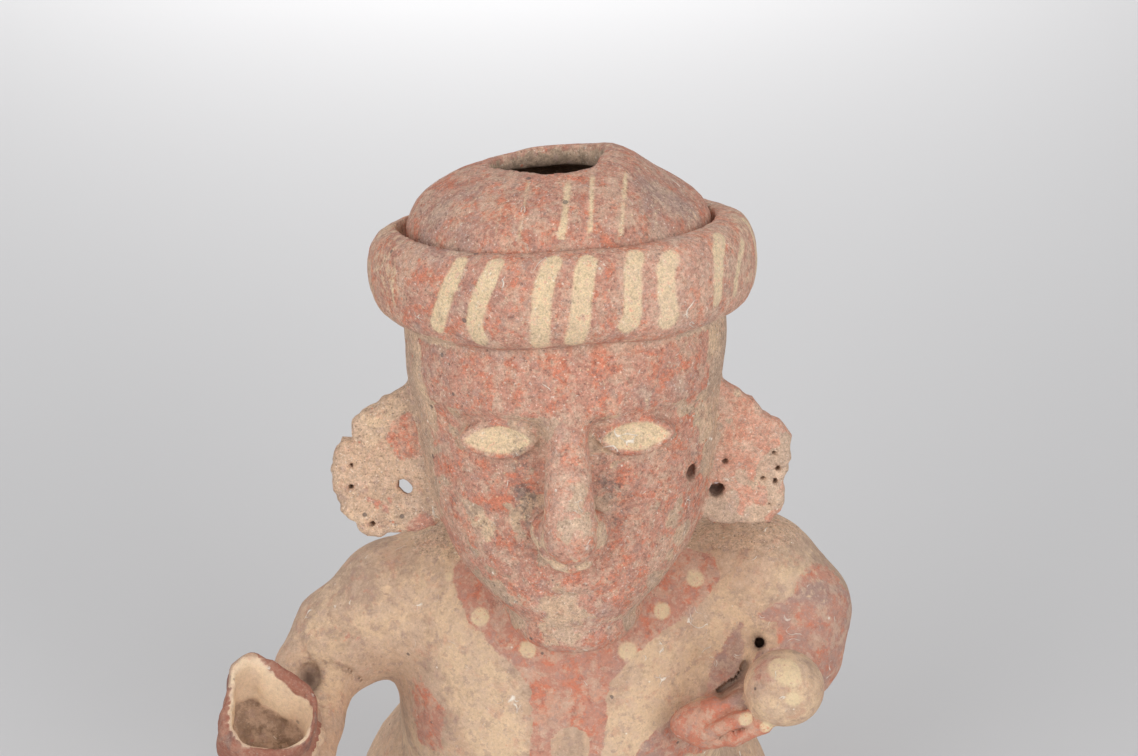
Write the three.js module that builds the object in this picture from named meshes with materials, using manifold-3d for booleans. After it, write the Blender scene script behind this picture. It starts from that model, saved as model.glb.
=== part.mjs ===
// A hollow standing figure of fired clay, built by hand from slabs and coils and fired as one piece.
// It wears a cap with a thick rolled headband, two flat pierced ear ornaments and a nose ring. Its right
// hand holds a squarish cup, its left hand presses a rounded gourd to the chest. The cap is open at the
// top: the vent leads through the head and the neck into the hollow body.
//
// Millimetres, +Z up. The figure faces -Y, and its own right hand is on -X. It stands on its two soles.

import * as THREE from 'three';
import { mergeVertices } from 'three/addons/utils/BufferGeometryUtils.js';
import Module from 'manifold-3d';

// ---------------------------------------------------------------- named sizes

const ORIGIN = [-7.44, -5.80];          // middle of the figure's plan, so that the part sits on its own origin

const WALL = 7.0;                      // thickness of the clay in head and body
const SOLE = 0;                        // level of both soles
const FINENESS = 0.59;                 // how finely round forms are divided

// Torso and hips: level, half width, depth to the front, depth to the back.
const TORSO = [
  { z: 224, w: 22, front: 14, back: 14 },
  { z: 216, w: 38, front: 25, back: 24 },
  { z: 208, w: 49, front: 33, back: 29 },
  { z: 198, w: 55, front: 39, back: 33 },
  { z: 186, w: 57, front: 43, back: 35 },
  { z: 170, w: 57, front: 50, back: 36 },
  { z: 155, w: 56, front: 53, back: 36 },
  { z: 143, w: 55.5, front: 52, back: 35 },
  { z: 135, w: 56, front: 50, back: 35 },
  { z: 127, w: 61, front: 51, back: 38 },
  { z: 116, w: 67.5, front: 53, back: 43 },
  { z: 104, w: 71, front: 54, back: 46 },
  { z: 92, w: 70, front: 52, back: 46 },
  { z: 80, w: 64, front: 46, back: 41 },
  { z: 70, w: 55, front: 38, back: 33 },
];
const TORSO_TOP_ROUNDING = 6;
const BODY_HOLLOW = { top: 208, floor: 84 };

const NECK = { bottom: 196, top: 250, w: 31, front: 22, back: 30, y: 2 };
const NECK_BORE = { bottom: 200, top: 256, w: 21, front: 14, back: 22.5, y: 3.5 };

// Legs: level, half width, depth, distance of the leg's middle from the figure's middle.
const LEG = [
  { z: 95, w: 34, d: 36, x: 36 },
  { z: 80, w: 33, d: 36, x: 37 },
  { z: 60, w: 30, d: 32, x: 38 },
  { z: 40, w: 27, d: 28, x: 38.5 },
  { z: 24, w: 25, d: 25, x: 39 },
  { z: 6, w: 25, d: 25, x: 39 },
];
const FOOT = { x: 41, y: -24, z: 6, rx: 27, ry: 42, rz: 19 };

// The head has a frame of its own: x to the figure's left, y to the back, z up along the head.
const HEAD = { at: [0, 6.35, 291.95], tiltBack: 20, roll: 2 };
const HEAD_PROFILE = [
  { z: 44, w: 43, front: 38, back: 35 },
  { z: 26, w: 48, front: 43, back: 40 },
  { z: 12, w: 48.5, front: 45, back: 41 },
  { z: 0, w: 48.5, front: 47, back: 41 },
  { z: -7, w: 48, front: 47, back: 40.5 },
  { z: -13, w: 47, front: 42.5, back: 39.5 },
  { z: -30, w: 45.5, front: 41, back: 36 },
  { z: -45, w: 43, front: 40, back: 32 },
  { z: -60, w: 38, front: 40, back: 26 },
  { z: -72, w: 30, front: 39, back: 20 },
  { z: -80, w: 22, front: 36, back: 16 },
];
const HEAD_ROUNDING = 8;
const HEAD_HOLLOW = { top: 30, bottom: -56 };

const CAP = { z: 34, rx: 46, ry: 43, rz: 25.5 };
// Radii of the vent all round in equal steps from the figure's left, widest to the front.
const VENT = { x: -3.7, from: 30, to: 75, flare: 0.9, radii: [16.6, 17.0, 19.0, 18.8, 18.2, 16.4, 15.2, 15.3, 16.3, 15.5, 14.2, 13.4, 13.2, 13.6, 14.6, 15.8] };
const BAND = { x: 0.4, z: 25.5, rx: 48.4, ry: 43.2, thick: 9.5, high: 14, square: 2.4 };

const EAR = { right: -52.6, left: 48.2, y: -6, z: -38, lean: 15, rx: 19.2, rz: 25.0, scallops: 9, scallop: 0.75, thick: 8.0, bevel: 1.4 };
const EAR_HOLE = { right: [2.2, -4.0], left: [-3.0, -8.6], r: 2.0 };

const NOSE = { root: [0, -43, -5], tip: [0, -54.5, -43], rRoot: 5.2, rTip: 8.0 };
const NOSTRIL = { x: 7.2, y: -45.5, z: -44, r: 5.4 };
const NOSE_RING = { w: 8.4, top: -44, drop: 9.5, y: -49.5, bow: 3.0, r: 2.1 };
const EYE = { x: 20, z: -17, w: 10.5, h: 4.6, y: -37.5, proud: 4.4, slit: 1.6 };
const BROW = { x: 31, z: -8.5, r: 3.4, y: -42.5, sweep: 12 };
const LIPS = { z: -62, w: 11.5, y: -39.8, r: 2.5, sweep: 2.6 };

// Arms, each a chain of a place and a radius from shoulder to wrist.
const RIGHT_ARM = [
  [-36, 2, 198.5, 18.6], [-56, -1, 192.5, 18.6], [-72, -8, 181, 17.2], [-81, -18, 175, 13.2], [-81, -36, 171, 9.8], [-82, -57, 170, 8.8],
];
const LEFT_ARM = [
  [38, 2, 199, 19], [61, -1, 198.5, 22.8], [70.5, -7, 191, 21.8], [71, -17, 184.5, 17.8], [67, -31, 184, 12], [57, -42, 182.5, 9], [46, -46, 181.5, 8],
];

const WEB = [[50, -2, 188, 17], [51, -26, 177, 13]];   // clay that joins the left arm to the side of the chest

const CUP = { at: [-90, -61, 206], lean: 24, roll: 11, depth: 34, hollow: 18, narrowing: 0.46, drift: -5.5 };
// Radii of the rim's outer and inner edge, all round in equal steps from the figure's left: a hand-pinched, four-cornered mouth.
const CUP_RIM = {
  outer: [15.3, 15.4, 14.4, 12.8, 14.1, 17.2, 16.0, 12.9, 12.9, 15.2, 18.9, 19.0, 18.5, 18.8, 18.2, 16.4],
  inner: [13.6, 11.7, 9.2, 9.5, 10.7, 14.2, 13.6, 11.2, 10.3, 11.8, 14.0, 15.8, 15.3, 15.6, 15.4, 14.3],
};
const CUP_PROFILE = [
  { z: 0, w: 13.8, d: 17.0 }, { z: -10, w: 13.9, d: 16.6 }, { z: -22, w: 12.8, d: 14.6 }, { z: -31, w: 10.2, d: 11.2 },
];
// Palm and fingers around the cup, in the cup's own frame (down from its rim).
const CUP_HAND = { palm: [11.5, -1, -25], palmSize: [7.5, 12, 11], fingers: 4, first: 14, pitch: 6.6, r: 4.0 };

const GOURD = { at: [67.4, -50, 199.9], r: [12.4, 12.0, 11.7] };
const PALM = { at: [45.5, -47, 181], r: [9.8, 5.6, 8.0] };
const FINGERS = [                      // root, knuckle and tip of each finger under the gourd
  [[38, -48, 185], [46, -53, 190.5], [53, -54, 194]],
  [[39, -50, 180], [48, -56, 185.5], [56.5, -57, 190]],
  [[42, -50, 175.5], [52, -57, 181.5], [61.5, -58, 187]],
];
const FINGER_R = [4.2, 3.5];           // at the root, at the tip

// ---------------------------------------------------------------- tools for shapes

const wasm = await Module();
wasm.setup();

// Makes a solid of a three.js geometry: joins equal corners, drops empty triangles, turns faces out.
function solid(geometry, matrix) {
  const g = geometry.index ? geometry.clone() : mergeVertices(geometry);
  for (const name of Object.keys(g.attributes)) if (name !== 'position') g.deleteAttribute(name);
  if (matrix) g.applyMatrix4(matrix);
  const merged = mergeVertices(g, 1e-4);
  const p = merged.attributes.position;
  const index = merged.index.array;
  let tri = [];
  let volume = 0;
  const a = new THREE.Vector3(), b = new THREE.Vector3(), c = new THREE.Vector3();
  for (let i = 0; i < index.length; i += 3) {
    const [i0, i1, i2] = [index[i], index[i + 1], index[i + 2]];
    if (i0 === i1 || i1 === i2 || i0 === i2) continue;
    tri.push(i0, i1, i2);
    a.fromBufferAttribute(p, i0); b.fromBufferAttribute(p, i1); c.fromBufferAttribute(p, i2);
    volume += a.dot(b.cross(c));
  }
  if (volume < 0) for (let i = 0; i < tri.length; i += 3) [tri[i + 1], tri[i + 2]] = [tri[i + 2], tri[i + 1]];
  return new wasm.Manifold(new wasm.Mesh({
    numProp: 3, vertProperties: new Float32Array(p.array), triVerts: new Uint32Array(tri),
  }));
}

const even = (n) => 2 * Math.round((n * FINENESS) / 2);

// A lathe of one unit radius whose rings are then laid out by place(ring, angle) -> [x, y, z].
// The first and the last ring shrink to a point, so the form is closed.
function rings(count, around, place) {
  const segments = even(around);
  const profile = [];
  for (let j = 0; j < count; j++) profile.push(new THREE.Vector2(j === 0 || j === count - 1 ? 0 : 1, j));
  const g = new THREE.LatheGeometry(profile, segments);
  const p = g.attributes.position;
  for (let k = 0; k < p.count; k++) {
    const j = k % count;
    const i = Math.floor(k / count) % segments;
    p.setXYZ(k, ...place(j, (2 * Math.PI * i) / segments));
  }
  return g;
}

const power = (v, n) => Math.sign(v) * Math.pow(Math.abs(v), 2 / n);

// Reads a table of stations at any level with a smooth curve through them.
function reader(stations, keys) {
  const rows = [...stations].sort((s, t) => s.z - t.z);
  const values = rows.flatMap((s) => keys.map((k) => s[k]));
  const curve = new THREE.CubicInterpolant(rows.map((s) => s.z), values, keys.length, []);
  const low = rows[0].z, high = rows[rows.length - 1].z;
  return { low, high, at: (z) => Array.from(curve.evaluate(Math.min(high, Math.max(low, z)))) };
}

// A body of stacked rounded sections, from low to high, all sides moved in by inset, with rounded ends.
function column({ stations, low, high, steps, segments, inset = 0, round = 6, square = 2.2, x = null }) {
  const keys = 'd' in stations[0] ? ['w', 'd', 'd'] : ['w', 'front', 'back'];
  const read = reader(stations, x ? [...keys, 'x'] : keys);
  const spans = Math.ceil(steps * FINENESS);
  const zs = [[low, inset + round * 10]];
  zs.push([low, inset + round]);
  zs.push([low + round * 0.3, inset + round * 0.3]);
  for (let j = 0; j <= spans; j++) zs.push([low + round + ((high - low - 2 * round) * j) / spans, inset]);
  zs.push([high - round * 0.3, inset + round * 0.3]);
  zs.push([high, inset + round]);
  zs.push([high, inset + round * 10]);
  return rings(zs.length, segments, (j, t) => {
    const [z, cut] = zs[j];
    const [w, front, back, cx = 0] = read.at(z);
    if (j === 0 || j === zs.length - 1) return [x ? x * cx : 0, 0, z];
    const depth = Math.sin(t) < 0 ? front : back;
    return [(x ? x * cx : 0) + Math.max(1, w - cut) * power(Math.cos(t), square), Math.max(1, depth - cut) * power(Math.sin(t), square), z];
  });
}

function ellipsoid([x, y, z], [rx, ry, rz], segments = 24, bands = 14) {
  const g = new THREE.SphereGeometry(1, even(segments), even(bands));
  g.rotateX(Math.PI / 2);
  g.scale(rx, ry, rz);
  g.translate(x, y, z);
  return g;
}

// A limb: rings square to a smooth path, each with its own radius, closed by two domes.
function limb(stations, segments, lengthwise, flat = 1) {
  const steps = Math.ceil(lengthwise * FINENESS);
  const path = new THREE.CatmullRomCurve3(stations.map(([x, y, z]) => new THREE.Vector3(x, y, z)), false, 'centripetal');
  const dome = 2;
  const at = (u) => {
    const s = u * (stations.length - 1);
    const k = Math.min(stations.length - 2, Math.floor(s));
    return THREE.MathUtils.lerp(stations[k][3], stations[k + 1][3], s - k);
  };
  const along = [];
  for (let j = 0; j < dome; j++) { const q = (Math.PI / 2) * (j / dome); along.push([0, -Math.cos(q), Math.sin(q)]); }
  for (let j = 0; j <= steps; j++) along.push([j / steps, 0, 1]);
  for (let j = dome - 1; j >= 0; j--) { const q = (Math.PI / 2) * (j / dome); along.push([1, Math.cos(q), Math.sin(q)]); }
  const side = new THREE.Vector3(), up = new THREE.Vector3(), reference = new THREE.Vector3(0, 0, 1);
  return rings(along.length, segments, (j, t) => {
    const [u, shift, scale] = along[j];
    const r = at(u);
    const c = path.getPoint(u);
    const tangent = path.getTangent(u);
    side.crossVectors(tangent, reference).normalize();
    up.crossVectors(side, tangent).normalize();
    const q = c.clone().addScaledVector(tangent, shift * r)
      .addScaledVector(side, Math.cos(t) * r * scale).addScaledVector(up, Math.sin(t) * r * scale * flat);
    return [q.x, q.y, q.z];
  });
}

// ---------------------------------------------------------------- frames of the head and the cup

const rad = THREE.MathUtils.degToRad;
const headFrame = new THREE.Matrix4().makeTranslation(...HEAD.at)
  .multiply(new THREE.Matrix4().makeRotationX(-rad(HEAD.tiltBack)))
  .multiply(new THREE.Matrix4().makeRotationY(-rad(HEAD.roll)));
const cupFrame = new THREE.Matrix4().makeTranslation(...CUP.at)
  .multiply(new THREE.Matrix4().makeRotationX(rad(CUP.lean)))
  .multiply(new THREE.Matrix4().makeRotationY(rad(CUP.roll)));

// ---------------------------------------------------------------- body, neck and legs

const additions = [];
const cuts = [];

additions.push(solid(column({ stations: TORSO, low: 64, high: 224 + TORSO_TOP_ROUNDING, steps: 15, segments: 40, round: TORSO_TOP_ROUNDING })));
cuts.push(solid(column({ stations: TORSO, low: BODY_HOLLOW.floor, high: BODY_HOLLOW.top, steps: 9, segments: 28, inset: WALL, round: 8 })));

function oval({ bottom, top, w, front, back, y }, segments) {
  const stations = [{ z: bottom, w, front, back }, { z: top, w, front, back }];
  const g = column({ stations, low: bottom, high: top, steps: 3, segments, round: 3, square: 2.1 });
  return g.translate(0, y, 0);
}
additions.push(solid(oval(NECK, 32)));
cuts.push(solid(oval(NECK_BORE, 24)));

for (const s of [-1, 1]) {
  additions.push(solid(column({ stations: LEG, low: -6, high: 100, steps: 6, segments: 26, round: 6, x: s })));
  additions.push(solid(ellipsoid([s * FOOT.x, FOOT.y, FOOT.z], [FOOT.rx, FOOT.ry, FOOT.rz], 26, 12)));
}

// A radius read from a table that goes all round in equal steps.
function radiusAt(list, t) {
  const u = ((t / (2 * Math.PI)) % 1 + 1) % 1 * list.length;
  const i = Math.floor(u) % list.length;
  const k = (1 - Math.cos(Math.PI * (u - Math.floor(u)))) / 2;
  return list[i] * (1 - k) + list[(i + 1) % list.length] * k;
}

// ---------------------------------------------------------------- head, cap and headband

const H = (g) => solid(g, headFrame);

additions.push(H(column({ stations: HEAD_PROFILE, low: -90, high: 46, steps: 14, segments: 44, round: HEAD_ROUNDING, square: 2.2 })));
additions.push(H(ellipsoid([-1, 0, CAP.z], [CAP.rx, CAP.ry, CAP.rz], 40, 18)));
cuts.push(H(column({ stations: HEAD_PROFILE, low: HEAD_HOLLOW.bottom, high: HEAD_HOLLOW.top + 8, steps: 6, segments: 28, inset: WALL, round: 8 })));
cuts.push(H(ellipsoid([-1, 0, CAP.z], [CAP.rx - WALL, CAP.ry - WALL, CAP.rz - WALL], 28, 12)));

// The vent in the cap widens a little to the outside.
cuts.push(H(rings(6, 28, (j, t) => {
  const z = [VENT.from, VENT.from, 48, 60, VENT.to, VENT.to][j];
  const k = VENT.flare + ((1.12 - VENT.flare) * (z - VENT.from)) / (VENT.to - VENT.from);
  const r = j === 0 || j === 5 ? 0 : k * radiusAt(VENT.radii, t);
  return [VENT.x + r * Math.cos(t), -r * Math.sin(t), z];
})));

// The headband is a closed ring: a squarish section carried round an oval.
{
  const n = 10;
  const section = [];
  for (let j = 0; j <= n; j++) {
    const q = (2 * Math.PI * (j % n)) / n;
    section.push(new THREE.Vector2(50 + BAND.thick * power(Math.cos(q), BAND.square), BAND.high * power(Math.sin(q), BAND.square)));
  }
  const segments = even(50);
  const g = new THREE.LatheGeometry(section, segments);
  const p = g.attributes.position;
  for (let k = 0; k < p.count; k++) {
    const t = (2 * Math.PI * (Math.floor(k / (n + 1)) % segments)) / segments;
    const out = section[k % (n + 1)].x - 50;
    p.setXYZ(k, BAND.x + (BAND.rx + out) * Math.cos(t), (BAND.ry + out) * Math.sin(t), BAND.z + section[k % (n + 1)].y);
  }
  additions.push(H(g));
}

// ---------------------------------------------------------------- face: plain, even and calm

additions.push(H(limb([[...NOSE.root, NOSE.rRoot], [...NOSE.tip, NOSE.rTip]], 14, 3)));
for (const s of [-1, 1]) {
  additions.push(H(ellipsoid([s * NOSTRIL.x, NOSTRIL.y, NOSTRIL.z], [NOSTRIL.r * 0.85, NOSTRIL.r * 1.2, NOSTRIL.r], 12, 8)));
  // Eyelids, parted by a slit.
  additions.push(H(ellipsoid([s * EYE.x, EYE.y + 0.6 * (EYE.x - 18), EYE.z], [EYE.w, EYE.proud + 2, EYE.h], 18, 10)));
  // Brow ridge, the lower edge of the forehead.
  const brow = [];
  for (let j = 0; j <= 4; j++) {
    const u = j / 4;
    brow.push([s * (5 + (BROW.x - 5) * u), BROW.y + BROW.sweep * u * u, BROW.z + 2 * Math.sin(Math.PI * u), BROW.r * (1 - 0.35 * u)]);
  }
  additions.push(H(limb(brow, 8, 5)));
}
// Lips.
for (const s of [-1, 1]) {
  const lip = [];
  for (let j = -2; j <= 2; j++) lip.push([(LIPS.w * j) / 2, LIPS.y + LIPS.sweep * (j / 2) ** 2, LIPS.z + s * LIPS.r * 0.8 * (1 - 0.8 * (j / 2) ** 2), LIPS.r * (1 - 0.4 * Math.abs(j / 2))]);
  additions.push(H(limb(lip, 8, 6)));
}
// Nose ring: a roll of clay pressed on below the nose.
{
  const ring = [];
  for (let j = 0; j <= 6; j++) {
    const t = Math.PI * (j / 6);
    ring.push([-NOSE_RING.w * Math.cos(t), NOSE_RING.y - NOSE_RING.bow * Math.sin(t) * 0.3, NOSE_RING.top - NOSE_RING.drop * Math.sin(t), NOSE_RING.r]);
  }
  additions.push(H(limb(ring, 8, 10)));
}

// ---------------------------------------------------------------- ear ornaments

for (const side of ['right', 'left']) {
  const outline = [];
  const n = 36;
  for (let i = 0; i < n; i++) {
    const t = (2 * Math.PI * i) / n;
    const notch = EAR.scallop * (Math.abs(Math.sin((EAR.scallops * t) / 2)) - 0.6);
    const point = new THREE.Vector2((EAR.rx + notch - EAR.bevel) * Math.cos(t), (EAR.rz + notch - EAR.bevel) * Math.sin(t));
    outline.push(point.rotateAround(new THREE.Vector2(), rad(side === 'left' ? EAR.lean : -EAR.lean)));
  }
  const shape = new THREE.Shape(outline);
  const hole = new THREE.Path();
  hole.absarc(...EAR_HOLE[side], EAR_HOLE.r + EAR.bevel, 0, 2 * Math.PI, true);
  shape.holes.push(hole);
  const g = new THREE.ExtrudeGeometry(shape, {
    depth: EAR.thick - 2 * EAR.bevel, curveSegments: 5, bevelEnabled: true, bevelThickness: EAR.bevel, bevelSize: EAR.bevel, bevelSegments: 1,
  });
  g.translate(0, 0, -EAR.thick / 2 + EAR.bevel);
  g.rotateX(Math.PI / 2);
  g.translate(EAR[side], EAR.y, EAR.z);
  additions.push(H(g));
}

// ---------------------------------------------------------------- arms, cup and gourd

for (const arm of [RIGHT_ARM, LEFT_ARM]) {
  for (let i = 0; i + 1 < arm.length; i++) additions.push(solid(limb([arm[i], arm[i + 1]], 22, 1)));
}
additions.push(solid(limb(WEB, 18, 1)));

function cupBody(inside, segments) {
  const read = reader(CUP_PROFILE, ['w', 'd']);
  const low = inside ? -CUP.hollow : -CUP.depth;
  const zs = inside ? [low, low, low + 3, low / 2, -4, 12, 12] : [low, low, low + 2, -22, -10, -1.2, 0, 0];
  const round = inside ? [0, 3.2, 0.8, 0, 0, 0, 0] : [0, 3.5, 1, 0, 0, 0, 0.9, 0];
  return rings(zs.length, segments, (j, t) => {
    const end = j === 0 || j === zs.length - 1;
    const z = Math.min(0, zs[j]);
    const down = -z / CUP.hollow;
    const size = inside ? 1 - CUP.narrowing * down ** 1.1 : read.at(z)[0] / CUP_PROFILE[0].w;
    const r = end ? 0 : radiusAt(inside ? CUP_RIM.inner : CUP_RIM.outer, t) * size - round[j];
    return [r * Math.cos(t), r * Math.sin(t) + (inside ? CUP.drift * down : 0), zs[j]];
  });
}
additions.push(solid(cupBody(false, 32), cupFrame));
cuts.push(solid(cupBody(true, 28), cupFrame));

additions.push(solid(ellipsoid(CUP_HAND.palm, CUP_HAND.palmSize, 18, 12), cupFrame));
for (let i = 0; i < CUP_HAND.fingers; i++) {
  const z = -(CUP_HAND.first + i * CUP_HAND.pitch);
  const [w, d] = reader(CUP_PROFILE, ['w', 'd']).at(z);
  const r = CUP_HAND.r;
  additions.push(solid(limb([[w + 1.5, -5, z, r], [w - 2, -(d - 1), z - 0.5, r], [0, -(d + 1.8), z - 1, r], [-(w - 4), -(d - 0.5), z - 1, r * 0.85]], 8, 5), cupFrame));
}

additions.push(solid(ellipsoid(GOURD.at, GOURD.r, 22, 14)));
additions.push(solid(ellipsoid(PALM.at, PALM.r, 16, 10)));
for (const finger of FINGERS) {
  additions.push(solid(limb(finger.map((at, k) => [...at, k === 2 ? FINGER_R[1] : FINGER_R[0]]), 8, 4)));
}

// ---------------------------------------------------------------- one piece of clay

let clay = additions.reduce((sum, part) => sum.add(part));
for (const cut of cuts) clay = clay.subtract(cut);

// Both soles are rubbed flat.
const ground = new THREE.BoxGeometry(400, 400, 60);
ground.translate(0, 0, SOLE - 30);
clay = clay.subtract(solid(ground));

// Small pockets shut in between joined rolls of clay are solid clay: only the outer skin is kept,
// which through the vent is one with the skin of the hollow.
function outerSkin({ vertProperties, triVerts }) {
  const parent = Array.from({ length: vertProperties.length / 3 }, (_, i) => i);
  const root = (i) => { while (parent[i] !== i) i = parent[i] = parent[parent[i]]; return i; };
  for (let i = 0; i < triVerts.length; i += 3) {
    parent[root(triVerts[i])] = root(triVerts[i + 1]);
    parent[root(triVerts[i + 1])] = root(triVerts[i + 2]);
  }
  const count = new Map();
  for (const v of triVerts) count.set(root(v), (count.get(root(v)) || 0) + 1);
  const main = [...count].sort((s, t) => t[1] - s[1])[0][0];
  const renumber = new Map();
  const position = [], index = [];
  for (const v of triVerts) {
    if (root(v) !== main) continue;
    if (!renumber.has(v)) {
      renumber.set(v, position.length / 3);
      position.push(vertProperties[3 * v], vertProperties[3 * v + 1], vertProperties[3 * v + 2]);
    }
    index.push(renumber.get(v));
  }
  return { position, index };
}

const skin = outerSkin(clay.getMesh());
const geometry = new THREE.BufferGeometry();
geometry.setAttribute('position', new THREE.BufferAttribute(new Float32Array(skin.position), 3));
geometry.setIndex(new THREE.BufferAttribute(new Uint32Array(skin.index), 1));
geometry.computeVertexNormals();

const figure = new THREE.Mesh(geometry, new THREE.MeshStandardMaterial({ color: 0xa9705a, roughness: 0.9, metalness: 0 }));
figure.name = 'pottery_figure';
figure.position.set(-ORIGIN[0], -ORIGIN[1], 0);

const part = new THREE.Group();
part.add(figure);

export default part;
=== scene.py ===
import math

import bpy
import numpy as np
from mathutils import Matrix, Vector


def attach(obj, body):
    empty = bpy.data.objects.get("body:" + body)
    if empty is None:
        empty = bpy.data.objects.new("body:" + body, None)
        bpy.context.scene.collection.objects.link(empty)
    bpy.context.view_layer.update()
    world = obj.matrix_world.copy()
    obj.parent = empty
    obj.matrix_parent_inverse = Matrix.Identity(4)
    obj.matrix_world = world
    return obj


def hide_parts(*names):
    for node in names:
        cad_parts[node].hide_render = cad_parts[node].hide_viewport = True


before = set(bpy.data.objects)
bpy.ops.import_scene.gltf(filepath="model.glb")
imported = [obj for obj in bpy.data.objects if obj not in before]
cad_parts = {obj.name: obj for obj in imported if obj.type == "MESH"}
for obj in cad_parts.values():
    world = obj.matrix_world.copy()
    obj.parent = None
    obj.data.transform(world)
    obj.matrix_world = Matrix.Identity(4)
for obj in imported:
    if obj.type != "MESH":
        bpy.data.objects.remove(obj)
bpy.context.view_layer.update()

# The figure is one piece of fired clay. Its form is worked out here as a distance field in millimetres,
# in the figure's own measures, and then moved by SHIFT to the shared frame: +Z up, facing -Y.
SHIFT = np.array([7.44, 5.80, 0.0])
STEP = 1.0
TRIANGLES = 196000

# ------------------------------------------------------------------ distance field


def smin(a, b, k):
    if k <= 0:
        return np.minimum(a, b)
    h = np.maximum(k - np.abs(a - b), 0) / k
    return np.minimum(a, b) - h * h * k * 0.25


def smax(a, b, k):
    return -smin(-a, -b, k)


def smooth(t):
    t = np.clip(t, 0, 1)
    return t * t * (3 - 2 * t)


class Field:
    def __init__(self, lo, hi, h):
        self.h = h
        self.lo = np.array(lo, np.float32)
        self.n = [int(math.ceil((hi[i] - lo[i]) / h)) + 1 for i in range(3)]
        self.ax = [(self.lo[i] + h * np.arange(self.n[i])).astype(np.float32) for i in range(3)]
        self.D = np.full(self.n, 40.0, np.float32)

    def part(self, lo, hi):
        sl = []
        for i in range(3):
            a = max(0, int(math.floor((lo[i] - self.lo[i]) / self.h)))
            b = min(self.n[i], int(math.ceil((hi[i] - self.lo[i]) / self.h)) + 1)
            if b <= a:
                return None
            sl.append(slice(a, b))
        return (tuple(sl), self.ax[0][sl[0]][:, None, None], self.ax[1][sl[1]][None, :, None],
                self.ax[2][sl[2]][None, None, :])

    def _join(self, shape, k, cut):
        f, lo, hi = shape
        m = k + 3 * self.h + 1
        got = self.part([c - m for c in lo], [c + m for c in hi])
        if got is None:
            return
        sl, x, y, z = got
        a = self.D[sl]
        d = np.broadcast_to(f(x, y, z).astype(np.float32), a.shape)
        self.D[sl] = smax(a, -d, k) if cut else smin(a, d, k)

    def add(self, shape, k=0.0):
        self._join(shape, k, False)

    def cut(self, shape, k=0.0):
        self._join(shape, k, True)

    def groove(self, shape, depth, k=0.5):
        """Cuts the shape no deeper than depth below the surface that is there."""
        f, lo, hi = shape
        got = self.part(lo, hi)
        if got is None:
            return
        sl, x, y, z = got
        a = self.D[sl]
        d = np.broadcast_to(f(x, y, z).astype(np.float32), a.shape)
        self.D[sl] = smax(a, -np.maximum(d, -(a + depth)), k)


class Frame:
    """A local frame: its origin and three unit axes, all in the figure's measures."""

    def __init__(self, at, ex, ey, ez):
        self.at = np.array(at, float)
        self.m = np.array([ex, ey, ez], float)

    def local(self, x, y, z):
        x, y, z = x - self.at[0], y - self.at[1], z - self.at[2]
        m = self.m
        return tuple(m[i, 0] * x + m[i, 1] * y + m[i, 2] * z for i in range(3))

    def world(self, p):
        return self.at + np.array(p, float) @ self.m

    def wrap(self, shape):
        f, lo, hi = shape
        c = np.array([self.world([(lo, hi)[i][0], (lo, hi)[j][1], (lo, hi)[k][2]])
                      for i in (0, 1) for j in (0, 1) for k in (0, 1)])
        return (lambda x, y, z: f(*self.local(x, y, z))), c.min(0), c.max(0)


def curve(xs, ys):
    """A smooth curve through the stations of a table, read at any level."""
    xs, ys = np.array(xs, float), np.array(ys, float)
    o = np.argsort(xs)
    xs, ys = xs[o], ys[o]
    g = np.linspace(xs[0], xs[-1], 500)
    d = np.diff(ys) / np.diff(xs)
    m = np.zeros_like(ys)
    total = np.where(d[:-1] + d[1:] == 0, 1, d[:-1] + d[1:])
    m[1:-1] = np.where(d[:-1] * d[1:] > 0, 2 * d[:-1] * d[1:] / total, 0)
    m[0], m[-1] = d[0], d[-1]
    i = np.clip(np.searchsorted(xs, g) - 1, 0, len(xs) - 2)
    h = xs[i + 1] - xs[i]
    t = (g - xs[i]) / h
    v = ((2 * t**3 - 3 * t**2 + 1) * ys[i] + (t**3 - 2 * t**2 + t) * h * m[i]
         + (-2 * t**3 + 3 * t**2) * ys[i + 1] + (t**3 - t**2) * h * m[i + 1])
    return lambda q: np.interp(q, g, v).astype(np.float32)


def ellipsoid(c, r):
    c, r = np.array(c, float), np.array(r, float)

    def f(x, y, z):
        x, y, z = x - c[0], y - c[1], z - c[2]
        k0 = np.sqrt((x / r[0]) ** 2 + (y / r[1]) ** 2 + (z / r[2]) ** 2)
        k1 = np.sqrt((x / r[0] ** 2) ** 2 + (y / r[1] ** 2) ** 2 + (z / r[2] ** 2) ** 2) + 1e-9
        return k0 * (k0 - 1) / k1
    return f, c - r, c + r


def cone(a, b, ra, rb):
    a, b = np.array(a, float), np.array(b, float)
    ba = b - a
    length = ba @ ba

    def f(x, y, z):
        x, y, z = x - a[0], y - a[1], z - a[2]
        t = np.clip((x * ba[0] + y * ba[1] + z * ba[2]) / length, 0, 1)
        return np.sqrt((x - t * ba[0]) ** 2 + (y - t * ba[1]) ** 2 + (z - t * ba[2]) ** 2) - (ra + (rb - ra) * t)
    r = max(ra, rb)
    return f, np.minimum(a, b) - r, np.maximum(a, b) + r


def chain(stations, k=2.0):
    """A roll of clay through stations of a place and a radius."""
    links = [cone(p[:3], q[:3], p[3], q[3]) for p, q in zip(stations, stations[1:])]

    def f(x, y, z):
        d = links[0][0](x, y, z)
        for link in links[1:]:
            d = smin(d, link[0](x, y, z), k)
        return d
    return f, np.min([q[1] for q in links], 0), np.max([q[2] for q in links], 0)


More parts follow.
